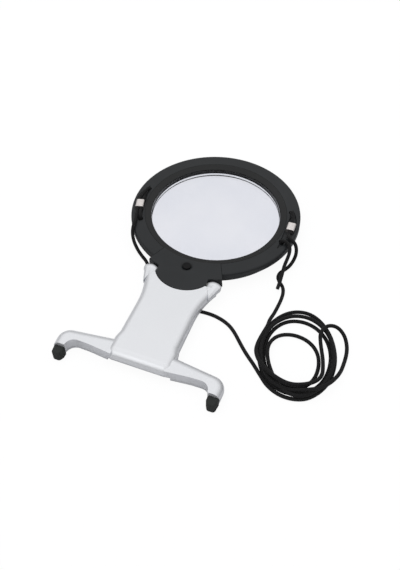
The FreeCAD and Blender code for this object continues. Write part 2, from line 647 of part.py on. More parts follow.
def switch_button():
    """Push button: dished cap, flange under the cover, hollow for the spring, and a stem."""
    top = RING_HEIGHT + BUTTON_PROUD
    low = button_flange_top() - BUTTON_FLANGE_THICKNESS
    body = fused(cylinder(BUTTON_RADIUS, low, top, 0, BUTTON_Y),
                 cylinder(BUTTON_FLANGE_RADIUS, low, button_flange_top(), 0, BUTTON_Y))
    body = body.cut(cylinder(BUTTON_POCKET_RADIUS, low - OVERRUN, spring_top_z(), 0, BUTTON_Y))
    dish_radius = BUTTON_RADIUS - THIN_WALL / 2
    ball_radius = (dish_radius ** 2 + BUTTON_DISH_DEPTH ** 2) / (2 * BUTTON_DISH_DEPTH)
    ball = Part.makeSphere(ball_radius, Vector(0, BUTTON_Y, top - BUTTON_DISH_DEPTH + ball_radius))
    stem_low = switch_top_z() - SWITCH_HEIGHT + SOFT_GAP + BUTTON_TRAVEL + SLIP
    stem = cylinder(BUTTON_STEM_RADIUS, stem_low, spring_top_z(), 0, BUTTON_Y)
    return fused(body.cut(ball), stem)


def switch_spring():
    """Open coil spring between the switch and the button's hollow."""
    low = switch_top_z() + SPRING_WIRE / 2 + SLIP
    height = spring_top_z() - SPRING_WIRE / 2 - SLIP - low
    radius = BUTTON_POCKET_RADIUS - SPRING_WIRE / 2 - SLIP
    points, ways = [], []
    for half_turn in range(2 * SPRING_TURNS + 1):
        side = 1 - 2 * (half_turn % 2)
        points.append(Vector(side * radius, BUTTON_Y, low + height * half_turn / (2 * SPRING_TURNS)))
        ways.append(Vector(0, side, 0))
    edges = []
    for start, way, end, end_way in zip(points, ways, points[1:], ways[1:]):
        edges.extend(biarc(start, way, end, end_way))
    circle = Part.Wire(Part.makeCircle(SPRING_WIRE / 2, points[0], ways[0]))
    return Part.Wire(edges).makePipeShell([circle], True, False)


def circuit_board():
    base = board_base_z()
    arc = wing_sector(BOARD_INNER_RADIUS, BOARD_OUTER_RADIUS, base, base + BOARD_THICKNESS, BOARD_ANGLE)
    tab = block((-BOARD_TAB_HALF_WIDTH, BOARD_TAB_REACH_Y, base),
                (BOARD_TAB_HALF_WIDTH, -BOARD_INNER_RADIUS - THIN_WALL, base + BOARD_THICKNESS))
    return fused(arc, tab)


def led_pair():
    """Two lamps under the board, each with a domed tip."""
    lamps = []
    for angle in (-90 - LAMP_ANGLE, -90 + LAMP_ANGLE):
        x, y = polar(LAMP_PLACE, angle)
        stem = cylinder(LAMP_RADIUS, LAMP_TIP_Z + LAMP_RADIUS, board_base_z(), x, y)
        lamps.append(fused(stem, Part.makeSphere(LAMP_RADIUS, Vector(x, y, LAMP_TIP_Z + LAMP_RADIUS))))
    return Part.makeCompound(lamps)


def coin_cell():
    """Button cell: a wide can with a narrower raised lid."""
    base = cell_base_z()
    can = cylinder(CELL_RADIUS, base + CONTACT_THICKNESS, base + CELL_THICKNESS, 0, CELL_Y)
    lid = cylinder(CELL_RADIUS - THIN_WALL, base, base + CONTACT_THICKNESS, 0, CELL_Y)
    return fused(can, lid)


def battery_contacts():
    """Spring leaf above the cell and a curved clip at its side."""
    top = cell_base_z() + CELL_THICKNESS
    leaf = block((-BOARD_TAB_HALF_WIDTH / 2, CELL_Y - CELL_RADIUS / 2, top),
                 (BOARD_TAB_HALF_WIDTH / 2, CELL_Y + CELL_RADIUS / 2, top + CONTACT_THICKNESS))
    outer = CELL_RADIUS + 2 * CONTACT_THICKNESS - RUNNING_FIT
    ring = cylinder(outer, cell_base_z() + CONTACT_THICKNESS, top, 0, CELL_Y)
    ring = ring.cut(cylinder(outer - CONTACT_THICKNESS, 0, RING_HEIGHT, 0, CELL_Y))
    side = block((-CELL_RADIUS / 2, CELL_Y - 2 * CELL_RADIUS, 0), (CELL_RADIUS / 2, CELL_Y, RING_HEIGHT))
    clip = ring.common(side)
    return Part.makeCompound([leaf, clip])


def battery_cap():
    """Round cap turned by a coin, held by three lugs."""
    disc = cylinder(CAP_RADIUS, CAP_SINK, CAP_SINK + CAP_THICKNESS, 0, CELL_Y)
    lugs = cap_lugs(0, CAP_LUG_ANGLE)
    slot = block((-CAP_RADIUS / 2, CELL_Y - CAP_SLOT_WIDTH / 2, -OVERRUN),
                 (CAP_RADIUS / 2, CELL_Y + CAP_SLOT_WIDTH / 2, CAP_SINK + CAP_SLOT_DEPTH))
    return fused(disc, lugs).cut(slot)


# Hinge

def hinge_pins():
    return Part.makeCompound(list(hinge_holes(HINGE_PIN_RADIUS)))


def friction_washers():
    start = Vector(NOSE_HALF_WIDTH + RUNNING_FIT, HINGE_Y, HINGE_Z)
    washer = Part.makeCylinder(WASHER_RADIUS, WASHER_THICKNESS, start, Vector(1, 0, 0))
    hole = hinge_holes(HINGE_PIN_RADIUS + RUNNING_FIT)[0]
    washer = washer.cut(hole)
    return Part.makeCompound([washer, mirrored(washer)])


# Arm

def arm_outline():
    """Plan of the arm: straight sides that flare to the hinge ears in a hollow curve."""
    flare_end_y = HINGE_Y - ARM_THICKNESS / 2 - 2 * SLIP
    rise = ARM_FLARE_HALF_WIDTH - ARM_HALF_WIDTH
    run = flare_end_y - ARM_FLARE_START_Y
    radius = (rise ** 2 + run ** 2) / (2 * rise)
    middle_run = run / 2
    middle_rise = radius - math.sqrt(radius ** 2 - middle_run ** 2)

    def side(sign):
        start = Vector(sign * ARM_HALF_WIDTH, ARM_FLARE_START_Y, 0)
        middle = Vector(sign * (ARM_HALF_WIDTH + middle_rise), ARM_FLARE_START_Y + middle_run, 0)
        end = Vector(sign * ARM_FLARE_HALF_WIDTH, flare_end_y, 0)
        block_low = Vector(sign * ARM_BLOCK_HALF_WIDTH, ARM_END_Y, 0)
        block_high = Vector(sign * ARM_BLOCK_HALF_WIDTH, ARM_BLOCK_START_Y, 0)
        neck = Vector(sign * ARM_HALF_WIDTH, ARM_BLOCK_START_Y + LEG_EDGE_ROUND, 0)
        return block_low, block_high, neck, start, middle, end

    right, left = side(1), side(-1)
    edges = []
    for low, high, neck, start, middle, end in (right, left):
        edges.append(Part.LineSegment(low, high).toShape())
        edges.append(Part.LineSegment(high, neck).toShape())
        edges.append(Part.LineSegment(neck, start).toShape())
        edges.append(Part.Arc(start, middle, end).toShape())
    edges.append(Part.LineSegment(right[5], left[5]).toShape())
    edges.append(Part.LineSegment(right[0], left[0]).toShape())
    return Part.Wire(Part.__sortEdges__(edges))


def throat():
    """Room that the turning arm needs round the hub's nose."""
    def clear(x):
        return math.hypot(nose_reach(x), ARM_THICKNESS / 2) + HINGE_GAP

    end_x = NOSE_HALF_WIDTH
    crown = hinge_point(0, clear(0))
    arc = Part.Arc(hinge_point(-end_x, clear(end_x)), crown, hinge_point(end_x, clear(end_x)))
    right_low = hinge_point(EAR_INNER_X, 0)
    right_high = hinge_point(EAR_INNER_X, clear(end_x))
    left_low = hinge_point(-EAR_INNER_X, 0)
    left_high = hinge_point(-EAR_INNER_X, clear(end_x))
    edges = [arc.toShape(),
             Part.LineSegment(hinge_point(end_x, clear(end_x)), right_high).toShape(),
             Part.LineSegment(right_high, right_low).toShape(),
             Part.LineSegment(right_low, left_low).toShape(),
             Part.LineSegment(left_low, left_high).toShape(),
             Part.LineSegment(left_high, hinge_point(-end_x, clear(end_x))).toShape()]
    return hinge_solid(edges)


def arm_body():
    """Whole outer form of the arm, both shells together."""
    outline = arm_outline()
    outline.translate(Vector(0, 0, ARM_BASE_Z))
    body = Part.Face(outline).extrude(Vector(0, 0, ARM_THICKNESS))
    start = side_point(ARM_END_ROUND_START_Y, RING_HEIGHT)
    low = side_point(ARM_END_Y, ARM_END_LOW_Z)
    fall = RING_HEIGHT - ARM_END_LOW_Z
    run = ARM_END_ROUND_START_Y - ARM_END_Y
    middle = side_point(ARM_END_Y + run * (1 - math.sqrt(0.5)), ARM_END_LOW_Z + fall * math.sqrt(0.5))
    base = side_point(ARM_END_Y + (ARM_END_LOW_Z - ARM_BASE_Z) / 4, ARM_BASE_Z)
    back_low = side_point(0, ARM_BASE_Z)
    back_high = side_point(0, RING_HEIGHT)
    edges = [Part.Arc(start, middle, low).toShape(), Part.LineSegment(low, base).toShape(),
             Part.LineSegment(base, back_low).toShape(), Part.LineSegment(back_low, back_high).toShape(),
             Part.LineSegment(back_high, start).toShape()]
    profile = Part.Face(Part.Wire(edges))
    profile.translate(Vector(-2 * ARM_BLOCK_HALF_WIDTH, 0, 0))
    side_form = profile.extrude(Vector(4 * ARM_BLOCK_HALF_WIDTH, 0, 0))
    body = body.common(side_form)
    edges = []
    for edge in body.Edges:
        box = edge.BoundBox
        along_side = abs(box.Center.x) > ARM_HALF_WIDTH - SLIP and box.ZMax > RING_HEIGHT - SLIP
        if along_side and box.ZMin > ARM_END_LOW_Z - SLIP and box.XLength < RING_RADIUS / 4:
            edges.append(edge)
    return body.makeFillet(ARM_EDGE_ROUND, edges)


def ear():
    """Hinge ear with its swelling, which runs forward into the arm and dies away."""
    barrel = ear_barrel()
    first = [hinge_point(EAR_INNER_X, EAR_INNER_RADIUS),
             hinge_point((EAR_INNER_X + EAR_OUTER_X) / 2, ARM_THICKNESS / 2),
             hinge_point(EAR_OUTER_X - WALL, EAR_OUTER_RADIUS + THIN_WALL),
             hinge_point(EAR_OUTER_X, EAR_OUTER_RADIUS),
             hinge_point(EAR_OUTER_X, -EAR_OUTER_RADIUS),
             hinge_point((EAR_INNER_X + EAR_OUTER_X) / 2, -ARM_THICKNESS / 2),
             hinge_point(EAR_INNER_X, -EAR_INNER_RADIUS)]
    taper_share = 0.75
    second = []
    for point in first:
        share = (point.x - EAR_INNER_X) / (EAR_OUTER_X - EAR_INNER_X)
        x = EAR_INNER_X + share * (EAR_SEAM_LOW_X - EAR_INNER_X)
        second.append(Vector(x, EAR_SEAM_LOW_Y, HINGE_Z + (point.z - HINGE_Z) * taper_share))
    wires = []
    for points in (first, second):
        wires.append(Part.makePolygon(points + [points[0]]))
    horn = Part.makeLoft(wires, True, True)
    return fused(barrel, horn.common(ear_zone()))


def ear_zone(margin=0):
    """Plan area beyond the seam between the ear and the arm's top shell, on the right."""
    low = EAR_SEAM_LOW_Y + margin
    corners = [(EAR_SEAM_TOP_X + margin, HINGE_Y + OVERRUN), (EAR_SEAM_TOP_X + margin, EAR_SEAM_TOP_Y),
               (EAR_SEAM_LOW_X + margin, low), (ARM_FLARE_HALF_WIDTH + OVERRUN, low),
               (ARM_FLARE_HALF_WIDTH + OVERRUN, HINGE_Y + OVERRUN)]
    return prism(corners, 0, RING_HEIGHT + OVERRUN)


def both_sides(shape):
    return fused(shape, mirrored(shape))


def arm_screw_places():
    return [(sign * ARM_SCREW_X, HINGE_Y - offset) for offset in ARM_SCREW_OFFSETS for sign in (-1, 1)]


def arm_cavity():
    """Hollow under the top shell, with screw bosses left standing."""
    half = ARM_HALF_WIDTH - ARM_EDGE_ROUND - WALL
    back = HINGE_Y - nose_reach(0) - ARM_THICKNESS
    low = ARM_END_ROUND_START_Y + WALL
    hollow = block((-half, low, ARM_BASE_Z + WALL), (half, back, RING_HEIGHT - WALL))
    for x, y in arm_screw_places():
        hollow = hollow.cut(cylinder(SCREW_BOSS_RADIUS, 0, RING_HEIGHT, x, y))
    return hollow


def leg_tenon(margin=0):
    """Tongue on the right leg's root that sits inside the arm's end."""
    half = TENON_HALF_WIDTH + margin
    return block((ARM_BLOCK_HALF_WIDTH - TENON_LENGTH - margin, TENON_Y - half, TENON_BASE_Z - margin),
                 (ARM_BLOCK_HALF_WIDTH + WALL, TENON_Y + half, TENON_TOP_Z + margin))


def arm_top_shell():
    body = arm_body()
    above = block((-RING_RADIUS, ARM_END_Y - OVERRUN, ARM_PARTING_Z), (RING_RADIUS, 0, RING_HEIGHT + OVERRUN))
    upper = body.common(above)
    upper = upper.cut(throat()).cut(both_sides(ear_zone(-SLIP))).cut(arm_cavity())
    upper = upper.cut(both_sides(leg_tenon(RUNNING_FIT)))
    for x, y in arm_screw_places():
        upper = upper.cut(cylinder(SCREW_RADIUS, 0, ARM_BASE_Z + ARM_SCREW_LENGTH, x, y))
    for sign in (-1, 1):
        upper = upper.cut(cylinder(SCREW_RADIUS, 0, TENON_TOP_Z, sign * leg_screw_x(), TENON_Y))
    return upper


def arm_bottom_shell():
    body = arm_body()
    below = block((-RING_RADIUS, ARM_END_Y - OVERRUN, 0), (RING_RADIUS, 0, ARM_PARTING_Z - SLIP))
    lower = body.common(below)
    horns = body.common(both_sides(ear_zone()))
    lower = fused(lower, horns).cut(throat()).cut(arm_cavity())
    right_ear = ear()
    lower = fused(lower, right_ear, mirrored(right_ear))
    for hole in hinge_holes(HINGE_PIN_RADIUS + RUNNING_FIT):
        lower = lower.cut(hole)
    places = arm_screw_places() + [(sign * leg_screw_x(), TENON_Y) for sign in (-1, 1)]
    for x, y in places:
        lower = lower.cut(cylinder(SCREW_RADIUS, 0, ARM_PARTING_Z, x, y))
        lower = lower.cut(cylinder(SCREW_HEAD_RADIUS + SLIP, 0, ARM_BASE_Z + SCREW_HEAD_HEIGHT, x, y))
    return lower


def leg_screw_x():
    return ARM_BLOCK_HALF_WIDTH - TENON_LENGTH / 2


def arm_screws():
    length = ARM_SCREW_LENGTH - 2 * SLIP
    return Part.makeCompound([screw(x, y, ARM_BASE_Z, length) for x, y in arm_screw_places()])


def leg_screws():
    length = TENON_TOP_Z - ARM_BASE_Z - WALL
    return Part.makeCompound([screw(sign * leg_screw_x(), TENON_Y, ARM_BASE_Z, length) for sign in (-1, 1)])


# Legs and feet

def leg_form(low, high, step=0):
    """Right leg between two heights: a bar that turns towards its foot round a hollow instep."""
    root_x = ARM_BLOCK_HALF_WIDTH - WALL - LEG_EDGE_ROUND
    instep_x = LEG_END_INNER_X - LEG_INSTEP_RADIUS
    instep_y = LEG_END_Y + LEG_INSTEP_RADIUS
    share = math.sqrt(0.5)
    arc_middle = Vector(instep_x + LEG_INSTEP_RADIUS * share, LEG_END_Y + LEG_INSTEP_RADIUS * share, low)
    slope = (LEG_BACK_TIP_Y - LEG_BACK_ROOT_Y) / (LEG_OUTER_X - ARM_BLOCK_HALF_WIDTH)
    back_root = Vector(root_x, LEG_BACK_ROOT_Y - step - slope * (ARM_BLOCK_HALF_WIDTH - root_x), low)
    corner = Vector(LEG_OUTER_X - step, LEG_BACK_TIP_Y - step, low)
    end_outer = Vector(LEG_END_OUTER_X - step, LEG_END_Y, low)
    end_inner = Vector(LEG_END_INNER_X + step, LEG_END_Y, low)
    instep_top = Vector(instep_x, instep_y + step, low)
    front_mid = Vector(LEG_FRONT_MID_X, LEG_FRONT_MID_Y + step, low)
    front_root = Vector(root_x, LEG_FRONT_ROOT_Y + step, low)
    before = (back_root - corner).normalize()
    after = (end_outer - corner).normalize()
    half = before.getAngle(after) / 2
    reach = LEG_CORNER_ROUND / math.tan(half)
    crown = corner + (before + after).normalize() * (LEG_CORNER_ROUND / math.sin(half) - LEG_CORNER_ROUND)
    edges = [
        Part.LineSegment(back_root, corner + before * reach).toShape(),
        Part.Arc(corner + before * reach, crown, corner + after * reach).toShape(),
        Part.LineSegment(corner + after * reach, end_outer).toShape(),
        Part.LineSegment(end_outer, end_inner).toShape(),
        Part.Arc(end_inner, arc_middle + Vector(step * share, step * share, 0), instep_top).toShape(),
        Part.LineSegment(instep_top, front_mid).toShape(),
        Part.LineSegment(front_mid, front_root).toShape(),
        Part.LineSegment(front_root, back_root).toShape()]
    return Part.Face(Part.Wire(edges)).extrude(Vector(0, 0, high - low))


def is_leg_back(edge):
    """True for the leg's upper edges behind and outside, beyond the arm."""
    box = edge.BoundBox
    if box.ZMin < LEG_TOP_Z - SLIP or box.XMax < ARM_BLOCK_HALF_WIDTH:
        return False
    return box.YMax > LEG_BACK_TIP_Y - SLIP or box.XMin > LEG_END_OUTER_X - SLIP


def right_leg_top():
    """Upper shell of the leg, rounded along its back and outer edge."""
    leg = leg_form(LEG_PARTING_Z, LEG_TOP_Z)
    leg = leg.makeFillet(LEG_EDGE_ROUND, [edge for edge in leg.Edges if is_leg_back(edge)])
    leg = leg.cut(arm_body())
    leg = leg.cut(block((0, ARM_END_Y - OVERRUN, 0), (ARM_BLOCK_HALF_WIDTH - WALL * 2, 0, RING_HEIGHT)))
    tenon = leg_tenon().cut(cylinder(SCREW_RADIUS, 0, TENON_TOP_Z - WALL / 2, leg_screw_x(), TENON_Y))
    return largest_solid(fused(leg, tenon))


def largest_solid(shape):
    return max(shape.Solids, key=lambda solid: solid.Volume)


def right_leg_bottom():
    """Lower shell of the leg, set in a little, with the spigot that holds the foot."""
    leg = leg_form(LEG_BASE_Z, LEG_PARTING_Z, LEG_STEP)
    leg = leg.cut(block((0, ARM_END_Y - OVERRUN, 0), (ARM_BLOCK_HALF_WIDTH, 0, RING_HEIGHT)))
    middle_x = (FOOT_INNER_X + FOOT_OUTER_X) / 2
    spigot = block((middle_x - SPIGOT_HALF_WIDTH, LEG_END_Y - SPIGOT_LENGTH, SPIGOT_BASE_Z),
                   (middle_x + SPIGOT_HALF_WIDTH, LEG_END_Y + WALL, SPIGOT_TOP_Z))
    return fused(leg, spigot)


def right_foot():
    """Rubber foot pushed on the spigot, tapered to its tip and rounded."""
    length = LEG_END_Y - FOOT_TIP_Y
    taper = length / 8
    corners = [(FOOT_INNER_X, LEG_END_Y), (FOOT_OUTER_X, LEG_END_Y),
               (FOOT_OUTER_X - taper, FOOT_TIP_Y, FOOT_ROUND), (FOOT_INNER_X + 2 * taper, FOOT_TIP_Y, FOOT_ROUND),
               (FOOT_INNER_X, LEG_END_Y - length / 2)]
    foot = prism(corners, 0, FOOT_TOP_Z)
    edges = [edge for edge in foot.Edges
             if edge.BoundBox.ZLength < SLIP and edge.BoundBox.YMin < LEG_END_Y - SLIP
             and edge.BoundBox.ZMin > FOOT_TOP_Z - SLIP]
    foot = foot.makeFillet(FOOT_TOP_ROUND, edges)
    middle_x = (FOOT_INNER_X + FOOT_OUTER_X) / 2
    hole = block((middle_x - SPIGOT_HALF_WIDTH, LEG_END_Y - SPIGOT_LENGTH, SPIGOT_BASE_Z),
                 (middle_x + SPIGOT_HALF_WIDTH, LEG_END_Y + WALL, SPIGOT_TOP_Z))
    return foot.cut(hole)


# Cord. Its points lie where the photographed cord lies.

def crimp_frame(centre, angle):
    """Middle, outward direction and downward direction of a crimp on the ring's face."""
    x, y = polar(1, angle)
    outward = Vector(x, y, 0)
    down = Vector(-y, x, 0)
    if down.y > 0:
        down = -down
    return Vector(centre[0], centre[1], CORD_TOP_Z), outward, down


def crimp(centre, angle, channels):
    """Flattened metal sleeve, square to its strands, with one bore for each."""
    body = block((-CRIMP_WIDTH / 2, -CRIMP_LENGTH / 2, -CRIMP_THICKNESS / 2),
                 (CRIMP_WIDTH / 2, CRIMP_LENGTH / 2, CRIMP_THICKNESS / 2))
    long_edges = [edge for edge in body.Edges if edge.BoundBox.YLength > CRIMP_LENGTH / 2]
    body = body.makeFillet(CRIMP_ROUND, long_edges)
    for offset in channels:
        start = Vector(offset, -CRIMP_LENGTH, 0)
        body = body.cut(Part.makeCylinder(CORD_RADIUS + RUNNING_FIT, 2 * CRIMP_LENGTH, start, Vector(0, 1, 0)))
    middle, outward, down = crimp_frame(centre, angle)
    turn = math.degrees(math.atan2(outward.y, outward.x))
    body.rotate(Vector(0, 0, 0), Vector(0, 0, 1), turn)
    body.translate(middle)
    return body


def cord_path(points, name):
    """Straight runs joined by tangent arcs, each as large as its shorter run allows."""
    corners = [Vector(*point) for point in points]
    edges, start, radii = [], corners[0], []
    for before, corner, after in zip(corners, corners[1:], corners[2:]):
        run_in, run_out = corner - before, after - corner
        turn = run_in.getAngle(run_out)
        reach = BEND_SHARE * min(run_in.Length, run_out.Length)
        radius = reach / math.tan(turn / 2)
        radii.append(radius)
        first = corner - run_in.normalize() * reach
        last = corner + run_out.normalize() * reach
        towards = (first + last) * 0.5 - corner
        depth = radius / math.cos(turn / 2) - radius
        middle = corner + towards.normalize() * depth
        edges.append(Part.LineSegment(start, first).toShape())
        edges.append(Part.Arc(first, middle, last).toShape())
        start = last
    edges.append(Part.LineSegment(start, corners[-1]).toShape())
    print(name, "least radius", round(min(radii), 2), "radii", [round(radius, 1) for radius in radii])
    return Part.Wire(edges)


def tube(path, name):
    """Round cord along a path."""
    start = path.Edges[0]
    point = start.valueAt(start.FirstParameter)
    circle = Part.Wire(Part.makeCircle(CORD_RADIUS, point, start.tangentAt(start.FirstParameter)))
    solid = path.makePipeShell([circle], True, False)
    expected = math.pi * CORD_RADIUS ** 2 * path.Length
    ratio = round(solid.Volume / expected, 4)
    print(name, "length", round(path.Length, 1), "volume over section times length", ratio)
    return solid


def channel_point(centre, angle, offset, station):
    """A point on one of a crimp's strands, offset outwards and stationed down its length."""
    middle, outward, down = crimp_frame(centre, angle)
    return tuple(middle + outward * offset + down * station)


def left_loop_points():
    half = STRAND_PITCH / 2
    end = CRIMP_LENGTH / 2 + CORD_RADIUS * 2
    return [
        channel_point(LEFT_CRIMP, LEFT_CRIMP_ANGLE, half, end),
        channel_point(LEFT_CRIMP, LEFT_CRIMP_ANGLE, half, -end),
        (-65.9, -4.8, 15.3), (-64.9, 0.4, 15.6),
        (-64.1, 5.05, 15.9), (-64.1, 5.05, 8.7),
        (-64.5, -0.2, 8.7), (-64.3, -8.8, 8.7), (-62.1, -18.4, 8.7), (-58.8, -26.4, 8.7),
        (-55.9, -31.4, 8.7), (-55.9, -31.4, 15.9),
        (-58.3, -27.0, 15.6),
        channel_point(LEFT_CRIMP, LEFT_CRIMP_ANGLE, -half, end),
        channel_point(LEFT_CRIMP, LEFT_CRIMP_ANGLE, -half, -end),
        (-62.4, -7.0, 15.3)]


def left_run_points():
    half = STRAND_PITCH / 2
    end = CRIMP_LENGTH / 2
    return [
        channel_point(LEFT_CRIMP, LEFT_CRIMP_ANGLE, half, end + CORD_RADIUS * 2),
        channel_point(LEFT_CRIMP, LEFT_CRIMP_ANGLE, half, end + CORD_RADIUS * 3),
        (-61.5, -29.2, 16.1), (-60.4, -34.6, 16.2), (-60.3, -39.8, 16.0), (-59.6, -44.4, 13.8),
        (-56.6, -49.2, 10.8), (-52.4, -53.4, 7.6), (-47.4, -57.6, 4.4), (-42.2, -60.8, 2.0),
        (-37.4, -63.8, 1.5), (-33.6, -68.2, 1.5), (-30.2, -75.2, 1.5), (-26.2, -83.2, 1.5),
        (-18.9, -90.9, 1.5), (-8.6, -96.2, 1.5), (3.2, -98.6, 1.5), (14.6, -98.0, 1.5),
        (24.8, -96.6, 1.5), (33.6, -96.6, 1.5), (42.1, -98.6, 1.5), (48.9, -101.9, 1.5),
        (54.4, -106.6, 1.5), (59.9, -112.6, 1.5), (65.3, -118.4, 1.5), (70.6, -123.4, 1.5),
        (75.8, -127.8, 1.5)]


def right_loop_points():
    end = CRIMP_LENGTH / 2
    return [
        channel_point(RIGHT_CRIMP, RIGHT_CRIMP_ANGLE, 0, end + CORD_RADIUS * 2),
        channel_point(RIGHT_CRIMP, RIGHT_CRIMP_ANGLE, 0, -end - CORD_RADIUS * 2),
        (64.3, 12.8, 15.3), (63.0, 16.6, 15.6),
        (61.0, 20.4, 15.9), (61.0, 20.4, 8.7),
        (63.2, 15.4, 8.7), (64.9, 7.9, 8.7), (65.4, -0.8, 8.7), (64.6, -8.6, 8.7),
        (62.5, -15.0, 8.7), (62.5, -15.0, 15.8),
        (65.3, -18.6, 16.1), (67.8, -22.2, 16.2), (69.8, -25.8, 14.8),
        (70.9, -29.6, 11.6), (71.3, -34.2, 8.8), (71.6, -39.4, 7.0),
        (72.0, -45.0, 5.9), (72.3, -50.6, 4.9), (72.2, -55.4, 3.4)]


def right_run_points():
    end = CRIMP_LENGTH / 2
    return [
        channel_point(RIGHT_CRIMP, RIGHT_CRIMP_ANGLE, 0, end + CORD_RADIUS * 2),
        channel_point(RIGHT_CRIMP, RIGHT_CRIMP_ANGLE, 0, end + CORD_RADIUS * 3),
        (67.3, -10.6, 16.0), (70.4, -12.9, 16.4), (73.6, -14.3, 15.4), (75.8, -16.3, 12.4),
        (76.8, -19.4, 8.6), (76.2, -23.6, 5.3), (74.5, -28.6, 2.9), (71.4, -33.0, 1.5),
        (68.7, -37.4, 1.5), (68.6, -42.2, 1.5), (71.4, -46.6, 1.5), (75.4, -50.4, 1.5),
        (77.4, -55.8, 1.5), (77.9, -63.0, 1.5), (77.2, -71.0, 1.5), (75.4, -79.0, 1.5), (72.9, -86.6, 1.5)]


# Coil. Reaches are measured across and along the coil, which is turned like the picture.

def coil_place(across, along, height):
    turn = math.radians(COIL_TURN_ANGLE)
    x = COIL_CENTRE[0] + across * math.cos(turn) - along * math.sin(turn)
    y = COIL_CENTRE[1] + across * math.sin(turn) + along * math.cos(turn)
    return Vector(x, y, height)


# Each turn's place below, right, above and left of the middle: its reach there, how far
# that point lies sideways of the middle, and the layer it lies in
COIL_TURNS = (
    ((34.9, 0.0, 0), (31.2, 4.5, 0), (41.5, 7.0, 0), (24.6, 3.0, 0)),
    ((31.4, -0.5, 0), (27.7, 4.0, 0), (37.8, 6.5, 0), (21.1, 3.0, 0)),
    ((27.9, 0.6, 0), (17.2, -2.0, 0), (20.0, -2.5, 0), (16.9, 2.0, 0.3)),
    ((24.6, -1.0, 1), (29.4, 4.0, 1), (33.4, 5.0, 1), (22.5, 4.0, 1)))
COIL_START = (-24.6, -18.9)
# The last turn, the hairpin and the strand that goes back over the pile
COIL_RETURN = (
    (-1.0, -29.8, 4.95), (12.0, -28.4, 4.95), (22.8, -22.0, 5.1), (31.6, -11.8, 4.1), (37.2, 0.2, 2.0),
    (39.5, 11.8, 2.1), (37.2, 21.4, 4.8), (31.2, 27.6, 8.0), (25.4, 26.6, 8.6), (22.0, 20.6, 8.6),
    (20.8, 12.6, 7.2), (20.9, 3.2, 5.4), (19.9, -5.6, 5.1), (15.8, -13.4, 5.1), (8.2, -18.8, 5.4),
    (-1.0, -20.6, 7.0), (-10.2, -20.0, 8.6), (-18.2, -16.4, 8.6), (-24.4, -8.2, 8.2), (-27.8, 0.2, 5.0),
    (-28.4, 8.2, 2.1), (-27.0, 15.4, 1.5), (-25.0, 22.0, 1.5))


def coil_keys():
    """Key points of the coil and its travel directions there."""
    points, travels = [], []
    directions = ((1, 0), (0, 1), (-1, 0), (0, -1))
    for turn in COIL_TURNS:
        for side, (reach, offset, layer) in enumerate(turn):
            across = (offset, reach, offset, -reach)[side]
            along = (-reach, offset, reach, offset)[side]
            points.append(coil_place(across, along, CORD_FLOOR_Z + layer * LAYER_STEP))
            travel = coil_place(*directions[side], 0) - coil_place(0, 0, 0)
            travels.append(travel)
    hand = [coil_place(*point) for point in COIL_RETURN]
    first = coil_place(*COIL_START, CORD_FLOOR_Z)
    points = [first] + points + hand
    steps = len(hand)
    for index in range(steps):
        here = len(points) - steps + index
        if index == 0:
            travels.append(coil_place(*directions[0], 0) - coil_place(0, 0, 0))
        elif index == steps - 1:
            travels.append((points[here] - points[here - 1]).normalize())
        else:
            travels.append((points[here + 1] - points[here - 1]).normalize())
    entry = coil_place(0.42, -0.91, 0) - coil_place(0, 0, 0)
    return points, [entry.normalize()] + travels


def biarc(start, start_way, end, end_way):
    """Two arcs in space that leave one point and reach the next along given directions."""
    gap = end - start
    both = start_way + end_way
    square = 2 * (1 - start_way.dot(end_way))
    cross = gap.dot(both)
    if square < NEARLY_ZERO:
        reach = gap.dot(gap) / (4 * gap.dot(start_way))
    else:
        reach = (-cross + math.sqrt(cross ** 2 + square * gap.dot(gap))) / square
    first = start + start_way * reach
    second = end - end_way * reach
    joint = (first + second) * 0.5
    return [bend(start, first, joint), bend(joint, second, end)]


def bend(start, corner, end):
    """Arc from start to end that is tangent to both legs of a corner."""
    half = (start - corner).getAngle(end - corner) / 2
    if math.pi / 2 - half < NEARLY_ZERO:
        return Part.LineSegment(start, end).toShape()
    chord_middle = (start + end) * 0.5
    depth = (corner - chord_middle).Length
    sagitta = (start - chord_middle).Length * math.tan((math.pi / 2 - half) / 2)
    return Part.Arc(start, chord_middle + (corner - chord_middle) * (sagitta / depth), end).toShape()


def coil_path():
    """One unbroken line: a straight diameter, all the loops, and a straight diameter."""
    points, travels = coil_keys()
    lead = 2 * CORD_RADIUS
    edges = [Part.LineSegment(points[0] - travels[0] * lead, points[0]).toShape()]
    for start, way, end, end_way in zip(points, travels, points[1:], travels[1:]):
        edges.extend(biarc(start, way, end, end_way))
    edges.append(Part.LineSegment(points[-1], points[-1] + travels[-1] * lead).toShape())
    return Part.Wire(edges)


def least_self_gap(path):
    """Smallest clear space between strands that are not neighbours along the cord."""
    spacing = CORD_RADIUS / 2
    places, run = [], 0
    for edge in path.Edges:
        count = max(2, int(edge.Length / spacing))
        for index in range(count):
            parameter = edge.FirstParameter + (edge.LastParameter - edge.FirstParameter) * index / count
            places.append((run + edge.Length * index / count, edge.valueAt(parameter)))
        run += edge.Length
    least, at = None, None
    for index, (distance, point) in enumerate(places):
        for other_distance, other in places[index + 1:]:
            if other_distance - distance < 8 * CORD_RADIUS:
                continue
            between = abs(other.x - point.x)
            if between > 4 * CORD_RADIUS:
                continue
            between = (other - point).Length
            if least is None or between < least:
                least, at = between, (distance, other_distance, point, other)
    print("coil length", round(run, 1), "least gap to itself", round(least - 2 * CORD_RADIUS, 3), "at", at)


